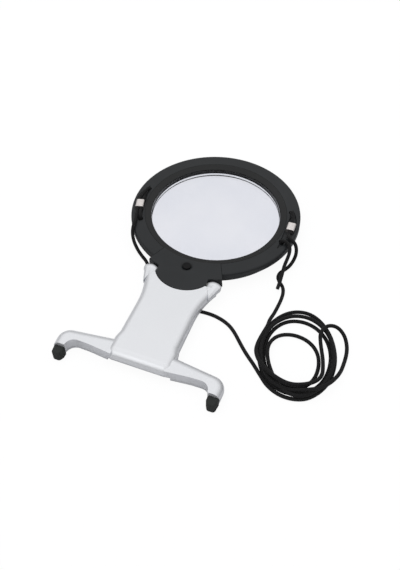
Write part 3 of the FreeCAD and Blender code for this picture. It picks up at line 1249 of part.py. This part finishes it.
def main():
    os.makedirs("parts", exist_ok=True)
    save(ring_top_shell(), "ring_top_shell")
    save(ring_bottom_shell(), "ring_bottom_shell")
    save(hub_cover(), "hub_cover")
    save(lens(), "lens")
    save(lens_bezel(), "lens_bezel")
    save(ring_screws(), "ring_screws")
    save(hinge_pins(), "hinge_pins")
    save(friction_washers(), "friction_washers")
    save(switch_button(), "switch_button")
    save(switch_spring(), "switch_spring")
    save(switch_body(), "switch_body")
    save(circuit_board(), "circuit_board")
    save(led_pair(), "led_pair")
    save(coin_cell(), "coin_cell")
    save(battery_contacts(), "battery_contacts")
    save(battery_cap(), "battery_cap")
    save(arm_top_shell(), "arm_top_shell")
    save(arm_bottom_shell(), "arm_bottom_shell")
    save(arm_screws(), "arm_screws")
    save(leg_screws(), "leg_screws")
    sides = (("leg_top", right_leg_top()), ("leg_bottom", right_leg_bottom()), ("foot", right_foot()))
    for name, piece in sides:
        save(piece, "right_" + name)
        save(mirrored(piece), "left_" + name)
    save(crimp(LEFT_CRIMP, LEFT_CRIMP_ANGLE, (-STRAND_PITCH / 2, STRAND_PITCH / 2)), "left_crimp")
    save(crimp(RIGHT_CRIMP, RIGHT_CRIMP_ANGLE, (0,)), "right_crimp")
    coil = coil_path()
    least_self_gap(coil)
    first, last = coil.Edges[0], coil.Edges[-1]
    lead = 4 * CORD_RADIUS
    coil_start = first.valueAt(first.FirstParameter)
    before_coil = coil_start - first.tangentAt(first.FirstParameter) * lead
    coil_end = last.valueAt(last.LastParameter)
    after_coil = coil_end + last.tangentAt(last.LastParameter) * lead
    save(tube(coil, "coil"), "cord_coil")
    runs = (("left_cord_loop", left_loop_points()), ("right_cord_loop", right_loop_points()),
            ("cord_left_run", left_run_points() + [tuple(before_coil), tuple(coil_start)]),
            ("cord_right_run", right_run_points() + [tuple(after_coil), tuple(coil_end)]))
    for name, points in runs:
        save(tube(cord_path(points, name), name), name)


main()
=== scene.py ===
import math

import bpy
import numpy as np
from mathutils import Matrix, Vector


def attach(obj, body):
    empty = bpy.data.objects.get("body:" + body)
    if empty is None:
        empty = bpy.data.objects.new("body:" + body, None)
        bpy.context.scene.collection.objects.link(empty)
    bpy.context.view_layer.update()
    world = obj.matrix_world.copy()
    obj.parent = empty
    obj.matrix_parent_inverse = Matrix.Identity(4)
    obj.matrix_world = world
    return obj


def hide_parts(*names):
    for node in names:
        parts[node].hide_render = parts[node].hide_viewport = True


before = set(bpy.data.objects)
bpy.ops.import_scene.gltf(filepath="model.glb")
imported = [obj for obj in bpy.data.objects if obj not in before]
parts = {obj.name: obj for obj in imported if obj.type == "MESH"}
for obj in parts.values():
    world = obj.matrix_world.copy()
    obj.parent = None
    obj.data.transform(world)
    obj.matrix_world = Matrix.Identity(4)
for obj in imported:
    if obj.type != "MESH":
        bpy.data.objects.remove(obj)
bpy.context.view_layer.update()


# Camera. It looks down on the magnifier from in front and to the right, half a metre
# away, along the photograph's line of sight: 21 degrees round and 50 degrees above.

def camera(target, azimuth, elevation, distance, lens):
    """Camera on a sphere about its target, with its up side along +Z."""
    around, above = math.radians(azimuth), math.radians(elevation)
    level = math.cos(above)
    back = Vector((math.sin(around) * level, -math.cos(around) * level, math.sin(above)))
    data = bpy.data.cameras.new("camera")
    data.lens = lens
    made = bpy.data.objects.new("camera", data)
    bpy.context.collection.objects.link(made)
    made.location = Vector(target) + back * distance
    made.rotation_euler = (-back).to_track_quat("-Z", "Y").to_euler()
    bpy.context.scene.camera = made


camera(target=(0.0169, -0.0303, 0.014), azimuth=20.97, elevation=50.25, distance=0.520, lens=42.49)


# Frame of the lens: two shells, hub cover and battery cap of black ABS, injection moulded
# in a spark-eroded mould. The fine grain, about 0.25 mm wide, breaks up the gloss to a
# satin sheen, with slow patches where the mould has polished it.

def linear(text):
    """Six hex digits of an sRGB colour turned to linear red, green, blue and alpha."""
    levels = [int(text[index:index + 2], 16) / 255 for index in (0, 2, 4)]
    return [*(level / 12.92 if level <= 0.04045 else ((level + 0.055) / 1.055) ** 2.4
              for level in levels), 1]


def fill(tree, node, inputs):
    """Sets a node's inputs to values, or links them to the sockets given."""
    for name, value in inputs.items():
        if isinstance(value, bpy.types.NodeSocket):
            tree.links.new(value, node.inputs[name])
        else:
            node.inputs[name].default_value = value


def add(tree, kind, inputs=None, **settings):
    """One node of a kind, with its settings, its values and its links."""
    made = tree.nodes.new("ShaderNode" + kind)
    for name, value in settings.items():
        setattr(made, name, value)
    fill(tree, made, inputs or {})
    return made


def finish_of(name):
    """New material: itself, its tree, its shader, and object coordinates in metres."""
    made = bpy.data.materials.new(name)
    made.use_nodes = True
    tree = made.node_tree
    return made, tree, tree.nodes["Principled BSDF"], add(tree, "TexCoord").outputs["Object"]


def mottle(tree, place, size, low, high, detail=2.0):
    """Noise with features of a size in metres, stretched from a low value to a high one."""
    noise = add(tree, "TexNoise", {"Vector": place, "Scale": 1 / size, "Detail": detail})
    reach = add(tree, "MapRange", {
        "Value": noise.outputs["Fac"], "From Min": 0.3, "From Max": 0.7, "To Min": low, "To Max": high})
    return reach.outputs["Result"]


def moulded(name, dark, light, roughness, grain, depth, gloss=0.5):
    """Moulded plastic or rubber. Its two close tones drift over 30 mm and its sheen over
    12 mm, and its skin has a grain of a size and a depth in metres."""
    tone_patch, sheen_patch, sheen_change = 0.03, 0.012, 0.04
    made, tree, shader, place = finish_of(name)
    tones = add(tree, "Mix", {
        "Factor": mottle(tree, place, tone_patch, 0, 1), "A": linear(dark), "B": linear(light)},
        data_type="RGBA")
    skin = add(tree, "Bump", {
        "Height": mottle(tree, place, grain, 0, 1, detail=1.0), "Distance": depth, "Strength": 1.0})
    fill(tree, shader, {
        "Base Color": tones.outputs["Result"],
        "Roughness": mottle(tree, place, sheen_patch, roughness - sheen_change, roughness + sheen_change),
        "Specular IOR Level": gloss,
        "Normal": skin.outputs["Normal"]})
    return made


def dress(made, *names):
    """Gives CAD pieces their material."""
    for name in names:
        parts[name].data.materials.clear()
        parts[name].data.materials.append(made)


black_abs = moulded("spark_eroded_black_abs", "1c1e20", "212325", roughness=0.4, grain=0.00025,
                    depth=0.000012, gloss=0.28)
dress(black_abs, "ring_top_shell", "ring_bottom_shell", "hub_cover", "battery_cap")


# Bezel: a thin funnel of black ABS from a polished mould, which holds the lens down. It is
# smoother than the frame, so it mirrors the room more sharply. The switch's body is alike.

gloss_abs = moulded("polished_black_abs", "111213", "161718", roughness=0.22, grain=0.002,
                    depth=0.000004, gloss=0.28)
dress(gloss_abs, "lens_bezel", "switch_body")


# Push button: black plastic from an etched mould, with a dished top. Its matt skin looks
# blacker than the frame round it.

button_abs = moulded("matt_black_button_plastic", "0a0a0b", "101011", roughness=0.5, grain=0.0002,
                     depth=0.00001, gloss=0.15)
dress(button_abs, "switch_button")


# Lens: clear cast acrylic, polished, with a domed upper face and a nearly flat lower one. Its
# flange lies on the frame's ledge, and its thick body stands down inside it. The straight
# edge of the body mirrors the table, and the thickness gives the table behind a faint blue.

lens_centre_y = 0.0515
pole_radius = 0.0005
body_radius = 0.0544
body_low = 0.0029
body_top_step = 0.00015
face_margin = 0.0002
flange_radius = 0.0570
flange_round = 0.0001
flange_low = 0.00705
flange_high = 0.0089
rim_radius = 0.0550
rim_z = 0.00895
lower_face_z = 0.0019
lower_face_curve = 2.0
upper_face_z = 0.01276
upper_face_curve = 0.4


def lens_outline(stations=24):
    """Radius and height along the outline, out over the lower face, up the body and flange
    and in over the upper face. A face's height changes with the square of the radius over
    twice its radius of curvature."""
    lower = np.linspace(pole_radius, body_radius - face_margin, stations)
    upper = np.linspace(body_radius + face_margin, pole_radius, stations)
    edge = np.array([
        (body_radius, body_low), (body_radius, flange_low - body_top_step), (body_radius, flange_low),
        (flange_radius - flange_round, flange_low), (flange_radius, flange_low + flange_round),
        (flange_radius, flange_high - flange_round), (flange_radius - flange_round, flange_high),
        (rim_radius, rim_z)])
    radius = np.concatenate([lower, edge[:, 0], upper])
    height = np.concatenate([
        lower_face_z + lower ** 2 / (2 * lower_face_curve), edge[:, 1],
        upper_face_z - upper ** 2 / (2 * upper_face_curve)])
    return radius, height


def turned(name, radius, height, steps=144):
    """Surface of two parameters, the angle and the station along an outline. A point lies at
    the station's radius times cosine and sine of the angle, and at the station's height. The
    two ends are closed by flat faces."""
    angle = np.linspace(0, 2 * np.pi, steps, endpoint=False)
    x = np.outer(np.cos(angle), radius)
    y = np.outer(np.sin(angle), radius) + lens_centre_y
    z = np.broadcast_to(height, x.shape)
    points = np.stack([x, y, z], axis=-1).reshape(-1, 3)
    count = len(radius)
    first, station = np.meshgrid(np.arange(steps), np.arange(count - 1), indexing="ij")
    here, beside = first * count + station, (first + 1) % steps * count + station
    quads = np.stack([here, beside, beside + 1, here + 1], axis=-1).reshape(-1, 4)
    foot = np.arange(steps)[::-1] * count
    crown = np.arange(steps) * count + count - 1
    data = bpy.data.meshes.new(name)
    data.from_pydata(points.tolist(), [], quads.tolist() + [foot.tolist(), crown.tolist()])
    made = bpy.data.objects.new(name, data)
    bpy.context.collection.objects.link(made)
    return made


def acrylic():
    """Clear cast acrylic in two pale blues that drift over 40 mm. Rays for shadows go straight
    through, so the table below stays lit."""
    tone_patch = 0.04
    made, tree, shader, place = finish_of("clear_cast_acrylic")
    tones = add(tree, "Mix", {
        "Factor": mottle(tree, place, tone_patch, 0, 1), "A": linear("dfe1e9"), "B": linear("e6e7ed")},
        data_type="RGBA")
    fill(tree, shader, {
        "Base Color": tones.outputs["Result"], "Roughness": 0.02, "IOR": 1.49, "Transmission Weight": 1.0})
    path = add(tree, "LightPath")
    clear = add(tree, "BsdfTransparent", {"Color": linear("eceef4")})
    mix = add(tree, "MixShader", {
        0: path.outputs["Is Shadow Ray"], 1: shader.outputs["BSDF"], 2: clear.outputs["BSDF"]})
    fill(tree, tree.nodes["Material Output"], {"Surface": mix.outputs["Shader"]})
    return made


lens = turned("lens_body", *lens_outline())
lens.data.polygons.foreach_set("use_smooth", [True] * len(lens.data.polygons))
lens.data.set_sharp_from_angle(angle=math.radians(35))
lens.data.materials.append(acrylic())
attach(lens, "lens_frame")
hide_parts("lens")


# Arm and legs: moulded ABS shells under fine silver paint. The paint's flakes lie flat and
# mirror the room softly; a real flake is near 0.03 mm, drawn here at 0.11 mm so it shows.

def silver_paint():
    """Flakes of two tones under a thin clear coat. Its skin flows in waves 1.2 mm wide."""
    flakes_per_metre, wave_width, wave_depth, sheen_patch = 9000, 0.0012, 0.00001, 0.02
    made, tree, shader, place = finish_of("fine_silver_paint")
    flake = add(tree, "TexVoronoi", {"Vector": place, "Scale": flakes_per_metre})
    tones = add(tree, "Mix", {
        "Factor": flake.outputs["Distance"], "A": linear("d6d8dc"), "B": linear("e6e7ea")},
        data_type="RGBA")
    flow = add(tree, "Bump", {
        "Height": mottle(tree, place, wave_width, 0, 1), "Distance": wave_depth, "Strength": 1.0})
    fill(tree, shader, {
        "Base Color": tones.outputs["Result"],
        "Roughness": mottle(tree, place, sheen_patch, 0.3, 0.36),
        "Metallic": 0.6,
        "Coat Weight": 0.2,
        "Coat Roughness": 0.2,
        "Normal": flow.outputs["Normal"]})
    return made


dress(silver_paint(), "arm_top_shell", "arm_bottom_shell", "right_leg_top", "left_leg_top",
      "right_leg_bottom", "left_leg_bottom")


# Feet: black rubber caps, moulded and pushed on the legs' spigots. The rubber is matt and
# a little greyer than the frame, from handling.

rubber = moulded("matt_black_rubber", "262827", "2e302f", roughness=0.75, grain=0.0004,
                 depth=0.00003, gloss=0.25)
dress(rubber, "right_foot", "left_foot")


# Screws, pins, washers, spring, contacts and cell: plain bright steel, turned or drawn.
# The marks of the tool, about 0.2 mm apart, spread its highlights.

def steel(name, dark, light, roughness):
    """Bright metal: tones that change over 1 mm, wear over 0.6 mm and tool marks at 0.2 mm."""
    tone_patch, wear_patch, wear_change, mark_width, mark_depth = 0.001, 0.0006, 0.08, 0.0002, 0.000008
    made, tree, shader, place = finish_of(name)
    tones = add(tree, "Mix", {
        "Factor": mottle(tree, place, tone_patch, 0, 1, detail=4.0), "A": linear(dark), "B": linear(light)},
        data_type="RGBA")
    marks = add(tree, "Bump", {
        "Height": mottle(tree, place, mark_width, 0, 1), "Distance": mark_depth, "Strength": 1.0})
    fill(tree, shader, {
        "Base Color": tones.outputs["Result"],
        "Roughness": mottle(tree, place, wear_patch, roughness - wear_change, roughness + wear_change),
        "Metallic": 1.0,
        "Normal": marks.outputs["Normal"]})
    return made


dress(steel("turned_bright_steel", "a9a9a6", "c2c2be", roughness=0.32),
      "ring_screws", "hinge_pins", "friction_washers", "switch_spring", "coin_cell",
      "battery_contacts", "arm_screws", "leg_screws")


# Crimps: soft sheet metal pressed flat round the cord, two strands in the left one and one
# in the right. Pressing has made the metal bright, and a little warm beside the silver paint.

dress(steel("pressed_crimp_metal", "d6cfcc", "f0ecea", roughness=0.34), "left_crimp", "right_crimp")


# Circuit board: glass-fibre laminate under green lacquer, out of sight in the frame. The two
# lamps under it are of pale, glossy resin, and show only in their holes in the underside.

laminate = moulded("green_circuit_laminate", "12502a", "1a6637", roughness=0.35, grain=0.0005,
                   depth=0.00001)
lamp_resin = moulded("clear_lamp_resin", "d8dad4", "e6e8e2", roughness=0.12, grain=0.001,
                     depth=0.000004)
dress(laminate, "circuit_board")
dress(lamp_resin, "led_pair")


# Neck cord: one length of braided black polyester. It starts at the left crimp, goes through
# it, down and up through the ring, back through the crimp and on under the arm to the coil.
# From there it comes back to the right crimp, and ends in a tail from the right-hand holes.

cord_radius = 0.00145
rest_z = 1.5
layer_rise = 3.45
coil_middle = (101.7, -110.5)
coil_turn = math.radians(20.97)
strand_z = 15.3


def lens_place(points):
    """Millimetres from the lens centre turned to metres in the part's frame."""
    return [(x / 1000, y / 1000 + lens_centre_y, z / 1000) for x, y, z in points]


def coil_place(across, along, height):
    """Place in the coil, whose middle and turn are those of the CAD coil, in millimetres."""
    return (coil_middle[0] + across * math.cos(coil_turn) - along * math.sin(coil_turn),
            coil_middle[1] + across * math.sin(coil_turn) + along * math.cos(coil_turn), height)


def coil_turns(turns, steps=3):
    """Each quarter turn is a quarter ellipse between two sides, drawn a little outside its line.
    A side is given by its reach from the middle, its offset sideways and its layer."""
    points = []
    wide = 1 / math.cos(math.pi / 4 / steps)
    sides = [(*key, side % 4) for turn in turns for side, key in enumerate(turn)]
    for (reach, offset, layer, side), (next_reach, next_offset, next_layer, _) in zip(sides, sides[1:]):
        sign, next_sign = (-1, 1, 1, -1)[side], (1, 1, -1, -1)[side]
        start, end = sign * reach - next_offset, next_sign * next_reach - offset
        for step in range(steps):
            share = (step + 0.5) / steps
            angle = share * math.pi / 2
            first = next_offset + start * wide * math.cos(angle)
            second = offset + end * wide * math.sin(angle)
            height = rest_z + layer_rise * (layer + (next_layer - layer) * share)
            across, along = (second, first) if side % 2 == 0 else (first, second)
            points.append(coil_place(across, along, height))
    return points


def braided_cord(points, radius):
    """Round tube along one smooth spline, whose control points are the route's."""
    data = bpy.data.curves.new("neck_cord", "CURVE")
    data.dimensions = "3D"
    spline = data.splines.new("NURBS")
    spline.points.add(len(points) - 1)
    for point, place in zip(spline.points, points):
        point.co = (*place, 1)
    spline.order_u = 3
    spline.use_endpoint_u = True
    spline.resolution_u = 6
    data.bevel_depth = radius
    data.bevel_resolution = 4
    data.use_fill_caps = True
    made = bpy.data.objects.new("neck_cord", data)
    bpy.context.collection.objects.link(made)
    return made


def crimp_place(centre, angle, offset, station):
    """A point on a strand in a crimp: offset outwards, stationed towards the arm, in millimetres."""
    turn = math.radians(angle)
    way = 1 if math.cos(turn) > 0 else -1
    return (centre[0] + offset * math.cos(turn) + station * way * math.sin(turn),
            centre[1] + offset * math.sin(turn) - station * way * math.cos(turn), strand_z)


def left_strand(offset, station):
    """A point on one of the two strands in the left crimp."""
    return crimp_place((-62.85, -17.15), 195.2, offset, station)


def right_strand(station):
    """A point on the one strand in the right crimp."""
    return crimp_place((65.5, 1.7), 2.3, 0, station)


left_anchor = [
    (-62.4, -7.0, 15.3), left_strand(-1.65, -7.15), left_strand(-1.65, 7.15), (-58.3, -27.0, 15.6),
    (-55.9, -31.4, 15.9), (-55.9, -31.4, 8.7), (-58.8, -26.4, 8.7), (-62.1, -18.4, 8.7),
    (-64.3, -8.8, 8.7), (-64.5, -0.2, 8.7), (-64.1, 5.05, 8.7), (-64.1, 5.05, 15.9),
    (-64.9, 0.4, 15.6), (-65.9, -4.8, 15.3), left_strand(1.65, -7.15), left_strand(1.65, 7.15)]
to_coil = [
    left_strand(1.65, 8.6), (-60.8, -29.4, 16.0), (-58.9, -34.8, 16.0), (-57.8, -40.0, 15.9),
    (-57.0, -45.0, 15.0), (-55.4, -49.6, 11.4), (-52.4, -53.4, 7.6), (-47.4, -57.6, 4.4),
    (-42.2, -60.8, 2.0), (-37.4, -63.8, 1.5), (-33.6, -68.2, 1.5), (-30.2, -75.2, 1.5),
    (-26.2, -83.2, 1.5), (-18.9, -90.9, 1.5), (-8.6, -96.2, 1.5), (3.2, -98.6, 1.5),
    (14.6, -98.0, 1.5), (24.8, -96.6, 1.5), (33.6, -96.6, 1.5), (42.1, -98.6, 1.5),
    (48.9, -101.9, 1.5), (54.4, -106.6, 1.5), (59.9, -112.6, 1.5), (65.3, -118.4, 1.5),
    (70.6, -123.4, 1.5), (75.8, -127.8, 1.5)]
lead_in = [coil_place(*point) for point in (
    (-25.4, -17.6, 1.5), (-21.6, -25.4, 1.5), (-14.0, -32.8, 1.5), (-3.6, -36.8, 1.5))]
coil = coil_turns((
    ((36.0, 0.0, 0), (30.2, 4.5, 0), (40.3, 7.5, 0), (25.8, -3.5, 0)),
    ((32.2, -1.0, 0), (26.9, 4.0, 0), (31.5, 3.0, 0), (22.4, -3.0, 0)),
    ((27.0, 0.0, 0), (17.6, -2.0, 0), (18.8, -3.5, 0), (19.8, 0.0, 0.9)),
    ((35.4, -1.0, 1), (28.6, 4.0, 1), (33.8, 5.0, 1), (24.8, -3.0, 1))))
hairpin = [coil_place(*point) for point in (
    (-24.6, -11.6, 4.95), (-19.4, -23.4, 4.95), (-8.6, -31.4, 5.3), (4.0, -32.4, 7.6), (14.0, -31.4, 7.9),
    (22.8, -26.2, 6.6), (30.8, -17.4, 4.7), (35.2, -8.0, 3.2), (38.8, 1.6, 2.0), (40.0, 9.4, 2.1),
    (38.9, 16.8, 3.8), (34.6, 21.8, 6.6), (29.0, 22.8, 8.3), (23.8, 20.8, 8.6), (19.9, 15.0, 8.6),
    (19.5, 8.5, 7.2), (19.8, 1.5, 5.6), (20.0, -5.2, 5.2), (19.4, -11.6, 5.2), (18.0, -19.4, 5.6),
    (12.4, -25.4, 6.8), (3.0, -28.4, 7.9), (-6.5, -28.2, 8.3), (-15.2, -23.0, 8.4), (-22.6, -15.4, 8.4),
    (-27.4, -7.0, 8.0), (-28.4, 1.4, 5.8), (-26.8, 8.2, 4.8), (-24.2, 14.0, 4.6), (-20.8, 20.2, 4.6),
    (-17.6, 26.2, 4.0))]
from_coil = [
    (75.3, -86.0, 2.2), (76.6, -79.0, 1.5), (77.4, -71.0, 1.5), (77.9, -63.0, 1.5), (77.4, -55.8, 1.5),
    (75.4, -50.4, 1.5), (71.4, -46.6, 1.5), (68.6, -42.2, 1.5), (68.7, -37.4, 1.5), (71.4, -33.0, 1.5),
    (74.5, -28.6, 2.9), (76.2, -23.6, 5.3), (76.8, -19.4, 8.6), (75.8, -16.3, 12.4), (73.6, -14.3, 15.4),
    (70.4, -12.9, 16.4), (67.3, -10.6, 16.0), right_strand(8.6)]
right_anchor = [
    right_strand(7.15), right_strand(-7.15), (64.3, 12.8, 15.3), (63.0, 16.6, 15.6),
    (61.0, 20.4, 15.9), (61.0, 20.4, 8.7), (63.2, 15.4, 8.7), (64.9, 7.9, 8.7), (65.4, -0.8, 8.7),
    (64.6, -8.6, 8.7), (62.5, -15.0, 8.7), (62.5, -15.0, 15.6), (67.0, -16.2, 16.3), (70.8, -19.6, 16.2),
    (72.2, -24.4, 14.6), (72.0, -29.4, 11.6), (71.3, -34.2, 8.8), (71.6, -39.4, 7.0), (72.0, -45.0, 5.9),
    (72.3, -50.6, 4.9), (72.2, -55.4, 3.4)]
route = lens_place(left_anchor + to_coil + lead_in + coil + hairpin + from_coil + right_anchor)
cord = braided_cord(route, cord_radius)


def braid():
    """Woven polyester: strands that slant both ways round the cord, about 2 mm apart along it.
    The curve's own coordinates run from nought to one, and are stretched to millimetres."""
    made, tree, shader, _ = finish_of("braided_black_polyester")
    cord_millimetres, strands_round, wave_scale, strand_depth = 1483, 6, 0.32, 0.00012
    waves = []
    for way in (1, -1):
        along = add(tree, "TexCoord").outputs["UV"]
        slant = add(tree, "Mapping", {"Vector": along, "Scale": (cord_millimetres, strands_round * way, 1)})
        wave = add(tree, "TexWave", {"Vector": slant.outputs["Vector"], "Scale": wave_scale},
                   bands_direction="DIAGONAL")
        waves.append(wave.outputs["Fac"])
    weave = add(tree, "Math", {0: waves[0], 1: waves[1]}, operation="MAXIMUM").outputs["Value"]
    tones = add(tree, "Mix", {
        "Factor": weave, "A": linear("060607"), "B": linear("121213")}, data_type="RGBA")
    strands = add(tree, "Bump", {"Height": weave, "Distance": strand_depth, "Strength": 1.0})
    fill(tree, shader, {
        "Base Color": tones.outputs["Result"],
        "Roughness": 0.7,
        "Specular IOR Level": 0.2,
        "Sheen Weight": 0.05,
        "Normal": strands.outputs["Normal"]})
    return made


cord.data.materials.append(braid())
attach(cord, "lens_frame")
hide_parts("left_cord_loop", "cord_left_run", "cord_coil", "cord_right_run", "right_cord_loop")


# Table: a plain sheet of pale paper, wide enough to have no edge in view. The camera and the
# lens see it near white, and it keeps a weak shadow; silver and black mirror it as it is lit.

def table(half_side=6, glow_level=1.06, glow_share=0.88):
    """One square on the floor. Its glow is mixed in by a share for camera and lens rays."""
    data = bpy.data.meshes.new("table")
    corners = [(-half_side, -half_side, 0), (half_side, -half_side, 0), (half_side, half_side, 0),
               (-half_side, half_side, 0)]
    data.from_pydata(corners, [], [(0, 1, 2, 3)])
    made = bpy.data.objects.new("table", data)
    bpy.context.collection.objects.link(made)
    paper = bpy.data.materials.new("white_paper")
    paper.use_nodes = True
    tree = paper.node_tree
    tree.nodes.remove(tree.nodes["Principled BSDF"])
    sheet = add(tree, "BsdfDiffuse", {"Color": linear("c4c4c6")})
    glow = add(tree, "Emission", {"Color": linear("ffffff"), "Strength": glow_level})
    path = add(tree, "LightPath")
    seen = add(tree, "Math", {0: path.outputs["Is Camera Ray"], 1: path.outputs["Is Transmission Ray"]},
               operation="MAXIMUM")
    share = add(tree, "Math", {0: seen.outputs["Value"], 1: glow_share}, operation="MULTIPLY")
    mix = add(tree, "MixShader", {
        0: share.outputs["Value"], 1: sheet.outputs["BSDF"], 2: glow.outputs["Emission"]})
    fill(tree, tree.nodes["Material Output"], {"Surface": mix.outputs["Shader"]})
    made.data.materials.append(paper)


table()


# Light: a pale room that is dimmer towards its walls, with a soft glow in front, and one
# wide soft lamp overhead. The walls are what the silver paint mirrors along its edges.

def lobe(tree, way, heading, narrow, wide):
    """One along a heading, and nought outside a cone, with a soft edge between two cosines."""
    along = add(tree, "VectorMath", {0: way, 1: heading}, operation="DOT_PRODUCT")
    reach = add(tree, "MapRange", {"Value": along.outputs["Value"], "From Min": wide, "From Max": narrow},
                interpolation_type="SMOOTHSTEP")
    return reach.outputs["Result"]


def room(wall_level=0.18, ceiling_level=1.03, ceiling_rise=0.78, glow_level=0.6):
    """The walls brighten evenly with the rise of a ray, up to the ceiling, and the glow in
    front is added. Camera and lens rays see plain white instead."""
    world = bpy.data.worlds.new("room")
    world.use_nodes = True
    tree = world.node_tree
    way = add(tree, "TexCoord").outputs["Generated"]
    rise = add(tree, "SeparateXYZ", {"Vector": way}).outputs["Z"]
    walls = add(tree, "MapRange", {
        "Value": rise, "From Min": 0.0, "From Max": ceiling_rise,
        "To Min": wall_level, "To Max": ceiling_level})
    front = lobe(tree, way, (-0.229, -0.768, 0.597), narrow=0.98, wide=0.88)
    glow = add(tree, "Math", {0: front, 1: glow_level}, operation="MULTIPLY")
    level = add(tree, "Math", {0: walls.outputs["Result"], 1: glow.outputs["Value"]}, operation="ADD")
    path = add(tree, "LightPath")
    seen = add(tree, "Math", {0: path.outputs["Is Camera Ray"], 1: path.outputs["Is Transmission Ray"]},
               operation="MAXIMUM")
    strength = add(tree, "Mix", {"Factor": seen.outputs["Value"], "A": level.outputs["Value"], "B": 1.0})
    fill(tree, tree.nodes["Background"], {
        "Color": linear("ffffff"), "Strength": strength.outputs["Result"]})
    bpy.context.scene.world = world


def lamp(name, place, target, size, power):
    """Round soft lamp. Metal and lens don't show it, so it leaves no bright disc on them."""
    data = bpy.data.lights.new(name, "AREA")
    data.shape = "DISK"
    data.size = size
    data.energy = power
    made = bpy.data.objects.new(name, data)
    made.visible_glossy = False
    made.visible_transmission = False
    bpy.context.collection.objects.link(made)
    made.location = place
    made.rotation_euler = (Vector(target) - Vector(place)).to_track_quat("-Z", "Y").to_euler()


room()
lamp("overhead_lamp", (-0.3, 0.2, 1.1), (0, 0, 0), size=0.9, power=3.0)
bpy.context.scene.view_settings.view_transform = "Standard"
